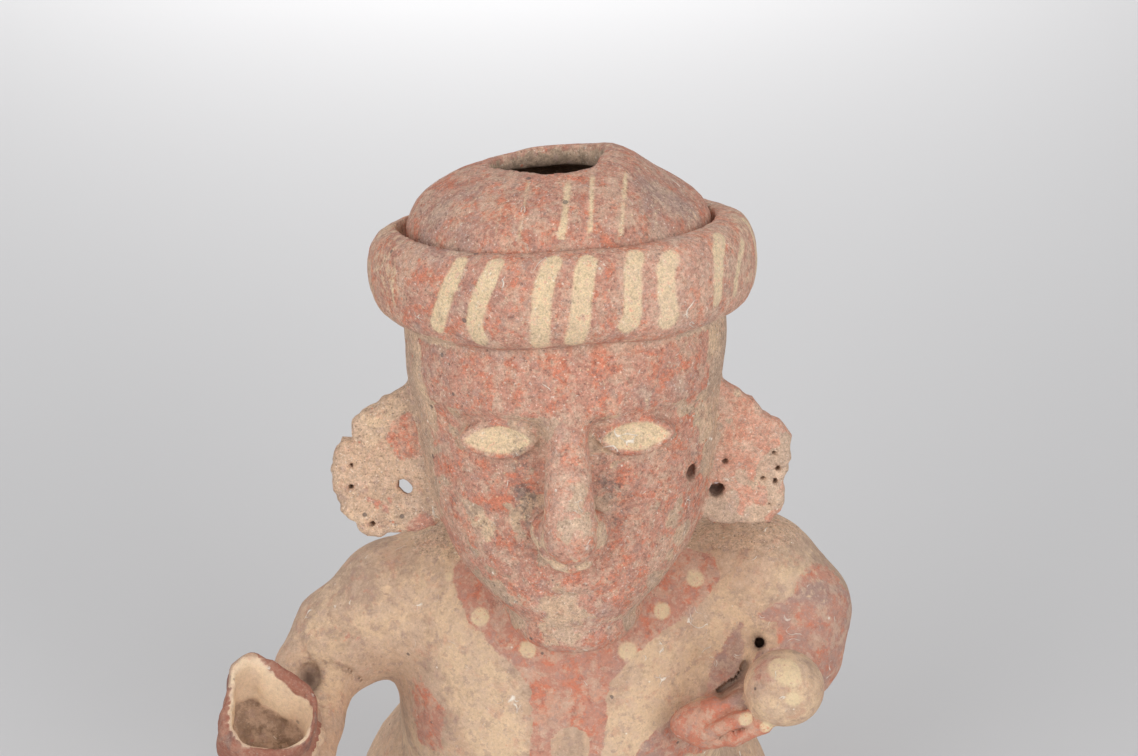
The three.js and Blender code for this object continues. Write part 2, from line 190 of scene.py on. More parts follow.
def furrow(points, lo, hi):
    """A line drawn on the plane of the chest, with a half width at each of its points."""
    def f(x, y, z):
        v = CHEST[0] * y + CHEST[1] * z
        d = np.float32(1e3)
        for (a, b, ra), (c, e, rb) in zip(points, points[1:]):
            along, across = c - a, e - b
            t = np.clip(((x - a) * along + (v - b) * across) / (along**2 + across**2), 0, 1)
            d = np.minimum(d, np.hypot(x - a - t * along, v - b - t * across) - (ra + (rb - ra) * t))
        return d
    return f, np.array(lo, float), np.array(hi, float)


def column(levels, w, front, back, square=2.2, x0=None, y0=0.0, low=None, high=None, rounding=8.0, forward=-1):
    """An upright body whose section at each level is a rounded oval. forward is the sign of y at its front."""
    cw, cf, cb = curve(levels, w), curve(levels, front), curve(levels, back)
    cx = curve(levels, x0) if x0 is not None else None
    lo, hi = min(levels), max(levels)
    low, high = lo if low is None else low, hi if high is None else high

    def f(x, y, z):
        q = np.clip(z, lo, hi)
        a = np.abs(x - (cx(q) if cx else 0)) / cw(q)
        yy = (y - y0) * -forward
        depth = np.where(yy < 0, cf(q), cb(q))
        b = np.abs(yy) / depth
        s = (a**square + b**square) ** (1 / square)
        g = np.sqrt((a / cw(q)) ** 2 + (b / depth) ** 2) / np.maximum(s, 1e-6)
        side = (s - 1) / np.maximum(g, 1e-6)
        return smax(side, np.maximum(z - high, low - z), rounding)
    xs = x0 if x0 is not None else [0]
    d = max(max(front), max(back))
    return f, np.array([min(xs) - max(w), y0 - d, low]), np.array([max(xs) + max(w), y0 + d, high])


def nets(F):
    """The surface where the field is zero: corners and quads."""
    D, h, lo = F.D, F.h, F.lo
    s = D < 0
    n = D.shape
    c = s[:-1, :-1, :-1].astype(np.int8)
    corners = [(i, j, k) for i in (0, 1) for j in (0, 1) for k in (0, 1)]
    for i, j, k in corners[1:]:
        c = c + s[i:n[0] - 1 + i, j:n[1] - 1 + j, k:n[2] - 1 + k]
    act = (c > 0) & (c < 8)
    idx = np.argwhere(act)
    vid = np.full(act.shape, -1, np.int32)
    vid[act] = np.arange(len(idx))
    acc = np.zeros((len(idx), 3))
    cnt = np.zeros(len(idx))
    I, J, K = idx.T
    for a in corners:
        for ax in range(3):
            if a[ax]:
                continue
            b = list(a)
            b[ax] = 1
            da, db = D[I + a[0], J + a[1], K + a[2]], D[I + b[0], J + b[1], K + b[2]]
            m = (da < 0) != (db < 0)
            t = np.where(m, da / np.where(m, da - db, 1), 0)
            for i in range(3):
                acc[:, i] += (a[i] + (t if i == ax else 0)) * m
            cnt += m
    V = (idx + acc / cnt[:, None]) * h + lo
    quads = []
    for ax in range(3):
        o = [(1, 2), (2, 0), (0, 1)][ax]
        a = [slice(1, -1)] * 3
        a[ax] = slice(0, n[ax] - 1)
        b = list(a)
        b[ax] = slice(1, n[ax])
        s0, s1 = s[tuple(a)], s[tuple(b)]
        e = np.argwhere(s0 != s1)
        flip = s0[s0 != s1]
        e = e + np.array([0 if i == ax else 1 for i in range(3)])

        def cell(d1, d2):
            q = e.copy()
            q[:, o[0]] -= d1
            q[:, o[1]] -= d2
            return vid[q[:, 0], q[:, 1], q[:, 2]]
        q = np.stack([cell(1, 1), cell(0, 1), cell(0, 0), cell(1, 0)], 1)
        q[~flip] = q[~flip][:, ::-1]
        quads.append(q)
    return V, np.concatenate(quads)


# ------------------------------------------------------------------ noise, always the same


def noise(P, size, seed):
    """Gradient noise of about -1 to 1 at points P, with lumps of the given size."""
    rng = np.random.RandomState(seed)
    perm = np.tile(rng.permutation(256), 3)
    G = rng.normal(size=(256, 3))
    G /= np.linalg.norm(G, axis=1)[:, None]
    q = P / size + rng.uniform(0, 50, 3)
    i = np.floor(q).astype(int)
    f = q - i
    u = f * f * f * (f * (f * 6 - 15) + 10)
    i &= 255
    out = 0
    for a in (0, 1):
        for b in (0, 1):
            for c in (0, 1):
                g = G[perm[perm[perm[i[:, 0] + a] + i[:, 1] + b] + i[:, 2] + c]]
                w = (u[:, 0] if a else 1 - u[:, 0]) * (u[:, 1] if b else 1 - u[:, 1]) * (u[:, 2] if c else 1 - u[:, 2])
                out = out + w * (g[:, 0] * (f[:, 0] - a) + g[:, 1] * (f[:, 1] - b) + g[:, 2] * (f[:, 2] - c))
    return out * 1.6


def fbm(P, size, octaves, seed, gain=0.5):
    out, amp = 0, 1.0
    for o in range(octaves):
        out = out + amp * noise(P, size / 2**o, seed + 17 * o)
        amp *= gain
    return out


# ------------------------------------------------------------------ named sizes

# Lines on the chest are laid out on a plane that leans back with it: x, and this sum of y and z.
CHEST = (0.616, 0.788)

WALL = 7.0
TORSO = dict(levels=[224, 216, 208, 198, 186, 170, 155, 143, 135, 127, 116, 104, 92, 80, 70],
             w=[22, 38, 49, 55, 57, 57, 56, 55.5, 56, 61, 67.5, 71, 70, 64, 55],
             front=[14, 25, 33, 39, 43, 50, 53, 52, 50, 51, 53, 54, 52, 46, 38],
             back=[14, 24, 29, 33, 35, 36, 36, 35, 35, 38, 43, 46, 46, 41, 33])
LEG = dict(levels=[95, 80, 60, 40, 24, 6], w=[34, 33, 30, 27, 25, 25], d=[36, 36, 32, 28, 25, 25],
           x=[36, 37, 38, 38.5, 39, 39])
HEAD_LEVELS = [44, 26, 12, 0, -7, -13, -30, -45, -60, -72, -80]
HEAD_W = [43, 48, 48.5, 48.5, 48, 47, 45.5, 43, 38, 30, 22]
HEAD_FRONT = [38, 43, 45, 47, 47, 42.5, 41, 40, 40, 39, 36]
HEAD_BACK = [35, 40, 41, 41, 40.5, 39.5, 36, 32, 26, 20, 16]

TILT, ROLL = math.radians(20), math.radians(2)
_up = np.array([0, math.sin(TILT), math.cos(TILT)])
_fwd = np.array([0, -math.cos(TILT), math.sin(TILT)])
_x = np.array([1.0, 0, 0])
# The head's frame: x to the figure's left, second axis forward, third up along the head.
HEAD = Frame([0.0, 6.35, 291.95], _x * math.cos(ROLL) + _up * math.sin(ROLL), _fwd,
             _up * math.cos(ROLL) - _x * math.sin(ROLL))

CAP_AT, CAP_R = (-1, 0, 34), (46, 43, 25.5)
# The cap is a little lower and higher along its width.
CAP_RISE = [(-48, 1.0), (-40, 0.6), (-35, 0.0), (-17, -1.3), (-4, -0.9), (10, 0.4), (16.5, 1.7), (22, 0.9), (30, -1.4), (34, -1.5), (44, -0.5)]
# Radii of the vent in equal steps from the figure's left, by way of its front.
VENT_X, VENT_R = -3.7, [16.6, 17.2, 19.0, 18.2, 16.6, 14.4, 13.0, 13.8, 16.4, 16.8, 15.9, 15.0, 14.4, 14.4, 15.0, 15.8]
BAND = dict(x=0.4, z=25.5, rx=48.4, rf=43.2, thick=9.5, high=14.0, square=2.4)
EAR = dict(right=-52.6, left=48.2, f=6, z=-38, half=3.6)
# Outline of each ear disc: angle (0 is the figure's left, 90 up) and radius. The edges are lobed and a little chipped.
EAR_EDGE = {
    "right": [(0, 15), (40, 21), (62, 27), (79, 27.9), (88, 25.3), (99, 23.3), (107, 22.3), (125, 21.8), (136, 18.9), (141, 16.6),
              (146, 19.8), (161, 20.3), (181, 20.3), (195, 20.6), (204, 20.9), (208, 20.3), (212, 22.3), (219, 22.0), (227, 21.2),
              (235, 22.7), (244, 23.2), (251, 22.7), (258, 20.6), (270, 20.0), (300, 21.0), (330, 17.0)],
    "left": [(0, 19.2), (3, 19.3), (9, 19.3), (17, 20.5), (25, 20.8), (35, 20.0), (45, 19.3), (51, 18.3), (58, 19.7), (63, 20.5),
             (71, 21.5), (80, 22.9), (88, 24.6), (96, 26.2), (115, 27), (140, 20), (180, 15), (220, 18), (260, 20.5), (283, 20.6),
             (290, 22.1), (296, 22.8), (301, 23.6), (306, 23.5), (318, 22.5), (327, 21.0), (334, 18.9), (344, 18.5), (354, 18.9)],
}
EYE = dict(x=20, z=-17, w=10.2, h=4.4)

RIGHT_ARM = [(-36, 2, 198.5, 18.6), (-56, -1, 192.5, 18.6), (-72, -8, 181, 17.2), (-81, -18, 175, 13.2),
             (-81, -36, 171, 9.8), (-82, -57, 170, 8.8)]
LEFT_ARM = [(38, 2, 199, 19), (61, -1, 198.5, 22.8), (70.5, -7, 191, 21.8), (71, -17, 184.5, 17.8),
            (67, -31, 184, 12), (57, -41.5, 183, 9), (47, -45, 181.5, 7.4)]
WEB = [(50, -2, 188, 17), (51, -26, 177, 13)]
GOURD_AT, GOURD_R = (67.4, -50, 199.9), (12.4, 12.0, 11.7)
PALM_AT, PALM_R = (44.1, -48.4, 181.3), (10.8, 5.8, 6.2)
# Back of the hand and two fingers: places and radii, from the wrist to the tip.
FINGERS = [[(38.8, -49.0, 184.0, 3.8), (46.6, -50.0, 189.3, 3.6), (52.8, -47.2, 190.6, 2.8)],
           [(41.4, -52.0, 182.9, 3.6), (48.5, -55.3, 188.2, 3.1), (55.3, -56.5, 193.1, 2.7)],
           [(43.7, -51.5, 179.4, 3.4), (52.7, -55.8, 184.3, 3.0), (61.6, -57.4, 190.7, 2.5)]]
# Creases between them: x, place on the plane of the chest, half width.
HAND_CREASES = [[(43.0, 114.8, 0.7), (46.9, 117.2, 0.9), (51.2, 119.2, 0.5)], [(47.4, 110.6, 0.6), (51.5, 112.6, 0.8), (55.6, 114.2, 0.5)]]
# The gap beside the gourd, and a fired crack in the crook of the right arm.
SLIT = [(57.0, 132.0, 0.7), (56.4, 129.6, 1.0), (54.4, 127.3, 0.85), (51.7, 125.3, 0.8), (48.5, 123.1, 0.75)]
CRACK = [(-85.6, 138.2, 0.6), (-80.8, 130.0, 0.7), (-78.6, 131.7, 0.6), (-75.2, 130.6, 0.6), (-70.4, 129.2, 0.6), (-66.3, 124.9, 0.5)]

LEAN, CUP_ROLL = math.radians(24), math.radians(11)
_rx = np.array([[1, 0, 0], [0, math.cos(LEAN), -math.sin(LEAN)], [0, math.sin(LEAN), math.cos(LEAN)]])
_ry = np.array([[math.cos(CUP_ROLL), 0, math.sin(CUP_ROLL)], [0, 1, 0], [-math.sin(CUP_ROLL), 0, math.cos(CUP_ROLL)]])
_m = (_rx @ _ry).T
CUP = Frame([-90, -61, 206], _m[0], _m[1], _m[2])
# Depth of the hollow, how much it narrows sideways and from front to back, and how far its floor is moved forward.
CUP_HOLLOW, CUP_TAPER, CUP_DRIFT = 18.0, (0.10, 0.46), -5.5
# Radii of the rim's outer and inner edge in equal steps from the figure's left: a hand-pinched, four-cornered mouth.
RIM_OUTER = [15.3, 14.4, 12.8, 12.3, 14.1, 17.4, 16.6, 13.4, 13.1, 15.2, 18.9, 19.0, 18.5, 18.8, 18.2, 16.4]
RIM_INNER = [13.6, 11.7, 9.2, 9.5, 10.7, 14.2, 13.4, 10.9, 9.9, 11.3, 13.6, 15.6, 15.3, 15.6, 15.4, 14.3]


# ------------------------------------------------------------------ single shapes used for form and paint

head_body = HEAD.wrap(column(HEAD_LEVELS, HEAD_W, HEAD_FRONT, HEAD_BACK, 2.2, low=-90, high=46, rounding=8, forward=1))


cap_rise = curve([x for x, _ in CAP_RISE], [v for _, v in CAP_RISE])


def cap_local(x, f, a):
    return ellipsoid(CAP_AT, CAP_R)[0](x, f, a - cap_rise(x))


cap_shape = HEAD.wrap((cap_local, np.array([-50.0, -46, 5]), np.array([50.0, 46, 63])))


def band_local(x, f, a):
    x = x - BAND["x"]
    k0 = np.sqrt((x / BAND["rx"]) ** 2 + (f / BAND["rf"]) ** 2) + 1e-6
    k1 = np.sqrt((x / BAND["rx"] ** 2) ** 2 + (f / BAND["rf"] ** 2) ** 2) + 1e-9
    r = k0 * (k0 - 1) / k1
    t = np.arctan2(x, f)
    # a roll pressed on by hand: its thickness and its edges wander a little
    lump = 0.5 * np.sin(3 * t + 0.7) + 0.35 * np.sin(7 * t + 2.0) + 0.25 * np.sin(11 * t)
    # and both halves sink a little towards the back
    sunk, low = np.exp(-((t - 2.2) / 0.7) ** 2), np.exp(-((t + 2.15) / 0.6) ** 2)
    mid = BAND["z"] + 0.5 * np.sin(2 * t + 0.4) + 0.4 * np.sin(5 * t + 1.0) - 2.0 * sunk - 3.4 * low
    u = np.abs(r - 1 + 1.4 * sunk + 1.2 * low) / (BAND["thick"] + lump)
    v = np.abs(a - mid) / BAND["high"]
    n = BAND["square"]
    return ((u**n + v**n) ** (1 / n) - 1) * 9


band_shape = HEAD.wrap((band_local, np.array([-62.0, -56, 8]), np.array([62.0, 56, 42])))


def ear_local(side):
    table = EAR_EDGE[side]
    ang = np.radians([t - 360 for t, _ in table] + [t for t, _ in table] + [t + 360 for t, _ in table])
    rad = np.array([r for _, r in table] * 3, float)

    def f(x, fw, a):
        dx, dz = x - EAR[side], a - EAR["z"]
        t = np.arctan2(dz, dx)
        edge = np.interp(t, ang, rad) + 0.25 * np.sin(23 * t) + 0.2 * np.sin(37 * t + 1)
        rim = (np.hypot(dx, dz) - edge) * 0.93
        flat = np.abs(fw - EAR["f"] - 0.02 * np.abs(dx)) - EAR["half"]
        return smax(rim, flat, 2.6)
    return f


ear_shape = {s: HEAD.wrap((ear_local(s), np.array([EAR[s] - 28.0, 0, -66]), np.array([EAR[s] + 28.0, 13, -8])))
             for s in ("right", "left")}
# Holes through the ear discs: place in the head's frame, radius, and how far they rise towards the back.
EAR_HOLES = {"right": [(-51.1, -42.5, 1.8, -3.2), (-49.8, -44.0, 1.8, -3.2)], "left": [(44.6, -45.4, 2.3, 5.0)]}
SMALL_HOLES = {"right": [(-66.4, -34.9, 1.0), (-67.0, -41.9, 1.0), (-61.1, -54.2, 1.0)],
               "left": [(62.3, -35.3, 0.9), (63.4, -40.4, 1.0), (62.5, -44.6, 1.0), (58.9, -43.4, 0.8), (47.4, -37.7, 1.0),
                        (60.7, -51.9, 0.7)]}


cup_w, cup_d = curve([0, -10, -22, -31], [13.8, 13.9, 12.8, 10.2]), curve([0, -10, -22, -31], [17.0, 16.6, 14.6, 11.2])


def round_table(values):
    """A smooth closed curve of radii, read at any angle."""
    k = len(values)
    g = np.arange(k * 24 + 1) / 24.0
    i = np.floor(g).astype(int)
    t = (1 - np.cos(np.pi * (g - i))) / 2
    v = np.array(values, float)
    r = v[i % k] * (1 - t) + v[(i + 1) % k] * t
    return lambda a: np.interp(np.mod(a / (2 * np.pi), 1) * k, g, r).astype(np.float32)


rim_outer, rim_inner = round_table(RIM_OUTER), round_table(RIM_INNER)


def cup_outside(x, y, z):
    q = np.clip(z, -31, 0)
    t = np.arctan2(y, x)
    side = (np.hypot(x, y) - rim_outer(t) * cup_w(q) / 13.8) * 0.95
    # the rim was pinched up by hand: it waves, and dips at the corner next to the arm
    top = -0.4 + 0.4 * np.sin(3 * t) + 0.3 * np.sin(5 * t + 2) + 0.5 * np.sin(t + 2.0) - 1.6 * np.exp(-((t - 0.6) / 0.6) ** 2)
    return smax(side, np.maximum(z - top, -34 - z), 2.0)


def cup_inside_local(x, y, z):
    down = np.clip(-z, 0, CUP_HOLLOW) / CUP_HOLLOW
    x, y = x / (1 - CUP_TAPER[0] * down), (y - CUP_DRIFT * down) / (1 - CUP_TAPER[1] * down)
    t = np.arctan2(y, x)
    side = (np.hypot(x, y) - rim_inner(t)) * 0.72
    return smax(side, np.maximum(z - 12, -CUP_HOLLOW - z), 3.0)


cup_outer = CUP.wrap((cup_outside, np.array([-20.0, -21, -34]), np.array([20.0, 21, 2])))
cup_inner = CUP.wrap((cup_inside_local, np.array([-17.0, -20, -CUP_HOLLOW]), np.array([17.0, 20, 12])))
gourd_shape = ellipsoid(GOURD_AT, GOURD_R)
finger_shape = [chain(f, 1.0) for f in FINGERS]
palm_shape = ellipsoid(PALM_AT, PALM_R)


def both(shape):
    """The same shape on both sides of the head."""
    f, lo, hi = shape
    m = max(abs(lo[0]), abs(hi[0]))
    return (lambda x, y, z: f(np.abs(x), y, z)), np.array([-m, lo[1], lo[2]]), np.array([m, hi[1], hi[2]])


def eye_lens(x, a, grow=0.0):
    """Distance to the outline of an almond eye, in the plane of the face."""
    w, h = EYE["w"] + grow, EYE["h"] + grow
    r = (w * w + h * h) / (2 * h)
    dx, dz = np.abs(np.abs(x) - EYE["x"]), np.abs(a - EYE["z"])
    return np.maximum(np.sqrt(dx**2 + (dz + r - h) ** 2) - r, -40)


def build():
    F = Field((-112, -84, -4), (100, 76, 358), STEP)
    # body, neck, legs and feet
    F.add(column(**TORSO, square=2.2, low=64, high=230, rounding=6))
    for s in (-1, 1):
        F.add(column(LEG["levels"], LEG["w"], LEG["d"], LEG["d"], 2.2, x0=[s * v for v in LEG["x"]], low=-6, high=100), 8)
        F.add(ellipsoid((s * 41, -24, 6), (27, 42, 19)), 8)
    F.add(column([196, 250], [31, 31], [22, 22], [30, 30], 2.1, y0=2, low=196, high=250, rounding=3), 6)
    # arms
    F.add(chain(RIGHT_ARM[:4], 3), 10)
    F.add(chain(RIGHT_ARM[3:], 3), 4)
    F.add(chain(LEFT_ARM[:4], 3), 10)
    F.add(chain(WEB, 2), 6)
    F.add(chain(LEFT_ARM[3:], 3), 4)
    # head with its cap
    F.add(head_body, 4)
    F.add(cap_shape, 2)
    # ear discs
    for s in ("right", "left"):
        F.add(ear_shape[s], 2.5)
    # forehead border, brow ridge, nose with its ring, eyelids and lips: plain, even and calm
    for s in (-1, 1):
        brow = []
        for j in range(5):
            u = j / 4
            brow.append((s * (5 + 26 * u), 42.5 - 12 * u * u, -8.5 + 2 * math.sin(math.pi * u), 3.4 * (1 - 0.35 * u)))
        F.add(HEAD.wrap(chain(brow, 1)), 3)
        F.add(HEAD.wrap(ellipsoid((s * 7.2, 45.5, -44), (4.6, 6.5, 5.4))), 2.5)
        lip = [(11.5 * j / 2, 39.8 - 2.6 * (j / 2) ** 2, -62 + s * 2.0 * (1 - 0.8 * (j / 2) ** 2), 2.5 * (1 - 0.4 * abs(j / 2)))
               for j in range(-2, 3)]
        F.add(HEAD.wrap(chain(lip, 1)), 1.5)
    F.add(HEAD.wrap(cone((0, 43, -5), (0, 54.5, -43), 5.2, 8.0)), 5)
    ring = [(-8.4 * math.cos(t), 49.5 + 0.9 * math.sin(t), -44 - 9.5 * math.sin(t), 2.1)
            for t in np.linspace(0, math.pi, 7)]

    def lids(x, f, a):
        surface = f - (41.5 - 0.16 * (np.abs(x) - 12))
        d = eye_lens(x, a, 1.6)
        return smax(smax(d, surface - 1.9, 1.5), -surface - 6, 1)
    F.add(HEAD.wrap((lids, np.array([-34.0, 30, -26]), np.array([34.0, 46, -8]))), 1.5)
    F.add(HEAD.wrap(chain(ring, 0.8)), 1.0)

    def sockets(x, f, a):
        surface = f - (41.5 - 0.16 * (np.abs(x) - 12))
        return smax(eye_lens(x, a, -0.4), -(surface - 0.9 + 0.05 * (a - EYE["z"]) ** 2 * 0.6), 0.6)
    F.cut(HEAD.wrap((sockets, np.array([-32.0, 34, -23]), np.array([32.0, 50, -11]))), 0.5)
    # nostrils
    for s in (-1, 1):
        F.cut(HEAD.wrap(cone((s * 4.6, 49, -48), (s * 3.6, 47, -43), 1.7, 1.2)), 0.6)
    # headband, with the gap between it and the cap
    F.add(band_shape, 0.8)

    def gap(x, f, a):
        d = cap_local(x, f, a)
        t = np.arctan2(x, f)
        wide = 0.95 + 0.75 * np.exp(-((t + 1.15) / 0.35) ** 2) + 0.25 * np.sin(3 * t)
        return np.maximum(np.abs(d - 0.9) - wide, 29.5 - a)
    F.cut(HEAD.wrap((gap, np.array([-52.0, -50, 28]), np.array([52.0, 50, 45]))), 0.6)
    # cup, its hand, the gourd and the hand below it
    F.add(cup_outer, 2)
    F.add(CUP.wrap(ellipsoid((11.5, -1, -25), (7.5, 12, 11))), 2.5)
    for i in range(4):
        z = -(14 + i * 6.6)
        w, d = float(cup_w(z)), float(cup_d(z))
        F.add(CUP.wrap(chain([(w + 1.5, -5, z, 4.0), (w - 2, -(d - 1), z - 0.5, 4.0), (0, -(d + 1.8), z - 1, 4.0),
                              (-(w - 4), -(d - 0.5), z - 1, 3.4)], 1.0)), 1.2)
    F.cut(cup_inner, 1.2)
    F.add(palm_shape, 4)
    F.add(cone((44, -47, 183), (54.5, -48.5, 190.5), 5.2, 4.6), 4)
    F.add(cone((47, -48, 180), (58, -51, 187.0), 4.6, 3.4), 3)
    F.add(finger_shape[0], 4.0)
    for f in finger_shape[1:]:
        F.add(f, 2.6)
    for line in HAND_CREASES:
        F.groove(furrow(line, (38, -66, 172), (60, -44, 200)), 1.0, 0.8)
    F.groove(furrow(SLIT, (44, -52, 176), (66, -22, 206)), 1.7, 1.2)
    F.groove(furrow(CRACK, (-90, -50, 164), (-62, -8, 200)), 1.3, 0.5)
    F.groove(ellipsoid((-82.2, -29.6, 183.8), (3.8, 5.5, 3.4)), 2.2, 1.6)
    F.add(gourd_shape, 1.5)
    # hollow inside
    F.cut(column(TORSO["levels"], [v - WALL for v in TORSO["w"]], [v - WALL for v in TORSO["front"]],
                 [v - WALL for v in TORSO["back"]], 2.2, low=84, high=208, rounding=14))
    F.cut(column([200, 256], [21, 21], [14, 14], [22.5, 22.5], 2.1, y0=3.5, low=200, high=256, rounding=4), 2)
    F.cut(HEAD.wrap(column(HEAD_LEVELS, [v - WALL for v in HEAD_W], [v - WALL for v in HEAD_FRONT],
                           [v - WALL for v in HEAD_BACK], 2.2, low=-56, high=38, rounding=12, forward=1)), 3)
    F.cut(HEAD.wrap(ellipsoid(CAP_AT, [r - WALL for r in CAP_R])), 3)

    vent_radius = round_table(VENT_R)

    def vent(x, f, a):
        dx = x - VENT_X
        t = np.arctan2(f, dx)
        edge = (0.9 + 0.22 * (a - 30) / 45) * (vent_radius(t) + 0.2 * np.sin(9 * t))
        return np.maximum(np.hypot(dx, f) - edge, 30 - a)
    F.cut(HEAD.wrap((vent, np.array([-28.0, -22, 30]), np.array([20.0, 26, 75]))), 1.5)
    # holes in the ear discs
    for s in ("right", "left"):
        for x, a, r, rise in EAR_HOLES[s]:
            F.cut(HEAD.wrap(cone((x, -4, a + rise), (x, 16, a - rise), r, r)), 1.0)
        for x, a, r in SMALL_HOLES[s]:
            if STEP < 1.5:
                F.cut(HEAD.wrap(cone((x, 7.0, a), (x, 16, a), r, r)), 0.5)
    F.cut(HEAD.wrap(ellipsoid((36.2, 24.6, -35.0), (1.9, 4.2, 3.0))), 0.5)
    # hole behind the gourd
    F.cut(cone((61.6, -19.8, 190.8), (61.6, -36.8, 205), 1.6, 1.6), 0.8)
    # toes
    for s in (-1, 1):
        for j in range(4):
            x = s * (41 + (j - 1.5) * 9.5)
            F.cut(cone((x, -52, 14), (x * 1.02, -70, 2), 1.3, 1.5), 2)
    # soles
    F.D = smax(F.D, np.broadcast_to((-F.ax[2])[None, None, :], F.D.shape), 1.5)
    return F


# ------------------------------------------------------------------ the mesh

field = build()
V, Q = nets(field)
del field


def vertex_normals(V, T):
    a, b, c = V[T[:, 0]], V[T[:, 1]], V[T[:, 2]]
    n = np.cross(b - a, c - a)
    out = np.zeros_like(V)
    for k in range(T.shape[1] if T.shape[1] == 3 else 3):
        for i in range(3):
            out[:, i] += np.bincount(T[:, k], n[:, i], minlength=len(V))
    return out / (np.linalg.norm(out, axis=1)[:, None] + 1e-12)


T = np.concatenate([Q[:, [0, 1, 2]], Q[:, [0, 2, 3]]])
N = vertex_normals(V, T)
low_part = 1 - 0.5 * smooth((150 - V[:, 2]) / 60)
relief = 0.42 * noise(V, 26, 3) + 0.26 * noise(V, 11, 4)
relief = relief + 0.15 * noise(V, 5.2, 5) + 0.09 * noise(V, 2.6, 6)
# small pits where grains of temper have fallen out
pit = noise(V, 3.1, 7)
relief = relief - 0.5 * smooth((pit - 0.62) / 0.2)
low_part = low_part * np.where(gourd_shape[0](V[:, 0], V[:, 1], V[:, 2]) < 1.5, 0.45, 1.0)
V = V + N * (relief * low_part)[:, None] * np.where(V[:, 2] < 1.0, 0.0, 1.0)[:, None]
V[:, 2] = np.maximum(V[:, 2], 0.0)


def mesh_from(name, V, F):
    me = bpy.data.meshes.new(name)
    me.vertices.add(len(V))
    me.vertices.foreach_set("co", np.asarray(V, np.float32).ravel())
    k = F.shape[1]
    me.loops.add(F.size)
    me.loops.foreach_set("vertex_index", F.astype(np.int32).ravel())
    me.polygons.add(len(F))
    me.polygons.foreach_set("loop_start", np.arange(0, F.size, k, dtype=np.int32))
    me.polygons.foreach_set("loop_total", np.full(len(F), k, np.int32))
    me.update(calc_edges=True)
    me.validate()
    return me


figure = bpy.data.objects.new("clay_figure", mesh_from("clay_figure", (V + SHIFT) / 1000.0, T))
bpy.context.scene.collection.objects.link(figure)

# Fewer triangles below and towards the back, more on the head and chest.
h = np.stack(HEAD.local(V[:, 0], V[:, 1], V[:, 2]), 1)
weight = np.where(V[:, 2] < 140, 0.75, 0.25) + 0.35 * smooth((V[:, 1] - 5) / 20)
inside = (N * (V - np.array([0, 0, 0]))).sum(1) < 0
group = figure.vertex_groups.new(name="thin")
for lo in range(0, 11):
    pick = np.nonzero(np.round(np.clip(weight, 0, 1) * 10).astype(int) == lo)[0]
    if len(pick):
        group.add(pick.tolist(), lo / 10, "REPLACE")
mod = figure.modifiers.new("thin", "DECIMATE")
mod.ratio = min(1.0, TRIANGLES / len(T))
mod.vertex_group = "thin"
mod.vertex_group_factor = 0.6
deps = bpy.context.evaluated_depsgraph_get()
thin = bpy.data.meshes.new_from_object(figure.evaluated_get(deps))
figure.modifiers.clear()
old = figure.data
figure.vertex_groups.clear()
figure.data = thin
thin.name = "clay_figure_mesh"
bpy.data.meshes.remove(old)
print("field", len(V), "vertices ->", len(thin.vertices), "vertices", len(thin.polygons), "faces")

me = figure.data
n = len(me.vertices)
co = np.zeros(n * 3, np.float32)
me.vertices.foreach_get("co", co)
P = co.reshape(-1, 3).astype(float) * 1000.0 - SHIFT
no = np.zeros(n * 3, np.float32)
me.vertex_normals.foreach_get("vector", no)
N = no.reshape(-1, 3).astype(float)
me.polygons.foreach_set("use_smooth", np.ones(len(me.polygons), bool))

# ------------------------------------------------------------------ paint, as distances and amounts at each vertex

HX, HF, HA = HEAD.local(P[:, 0], P[:, 1], P[:, 2])


def at(shape):
    return shape[0](P[:, 0], P[:, 1], P[:, 2])


def near(c, r, head=False):
    q = np.stack([HX, HF, HA], 1) if head else P
    d = (q - np.array(c, float)) / np.array(r, float)
    return np.exp(-(d**2).sum(1))


# edge lists for smoothing and curvature
edges = np.zeros(len(me.edges) * 2, np.int32)
me.edges.foreach_get("vertices", edges)
E = edges.reshape(-1, 2)
deg = np.bincount(E.ravel(), minlength=n).astype(float)


def spread(v):
    out = np.bincount(E[:, 0], v[E[:, 1]], minlength=n) + np.bincount(E[:, 1], v[E[:, 0]], minlength=n)
    return out / np.maximum(deg, 1)


mean = np.stack([spread(P[:, i]) for i in range(3)], 1)
bend = ((mean - P) * N).sum(1)            # above zero in hollows, below on ridges
for _ in range(4):
    bend = 0.4 * bend + 0.6 * spread(bend)
cav = np.clip(bend / 0.12, -1, 1)

d_cap, d_band, d_head = at(cap_shape), at(band_shape), at(head_body)
d_ear = {s: at(ear_shape[s]) for s in ear_shape}
d_cup, d_cup_in, d_gourd = at(cup_outer), at(cup_inner), at(gourd_shape)
d_fing = np.min([at(f) for f in finger_shape], 0)
d_palm = at(palm_shape)

on_band = smooth((1.6 - d_band) / 1.0) * (HA > 8) * (HA < 42)
on_cap = smooth((1.4 - d_cap) / 1.0) * (HA > 30) * (1 - smooth((1.2 - d_band) / 0.6))
in_vent = smooth((-0.9 - d_cap) / 1.2) * (HA > 20) * (d_band > -1)
on_ear = {s: smooth((1.4 - d_ear[s]) / 1.0) * (np.abs(HX) > 40) for s in d_ear}
ear_any = np.maximum(on_ear["right"], on_ear["left"])
head_zone = smooth((24.0 - d_head) / 4.0) * (HA < 14) * (HA > -86) * (1 - on_band) * np.where(np.abs(HX) > 47, 0.0, 1.0)
head_zone = head_zone * np.where((d_head > 3.5) & (HF < 30), 0.0, 1.0)
hollow = (d_head < -3.5) & (HA > -80) & (np.hypot(HX, HF) < 46) & (d_band > 0)


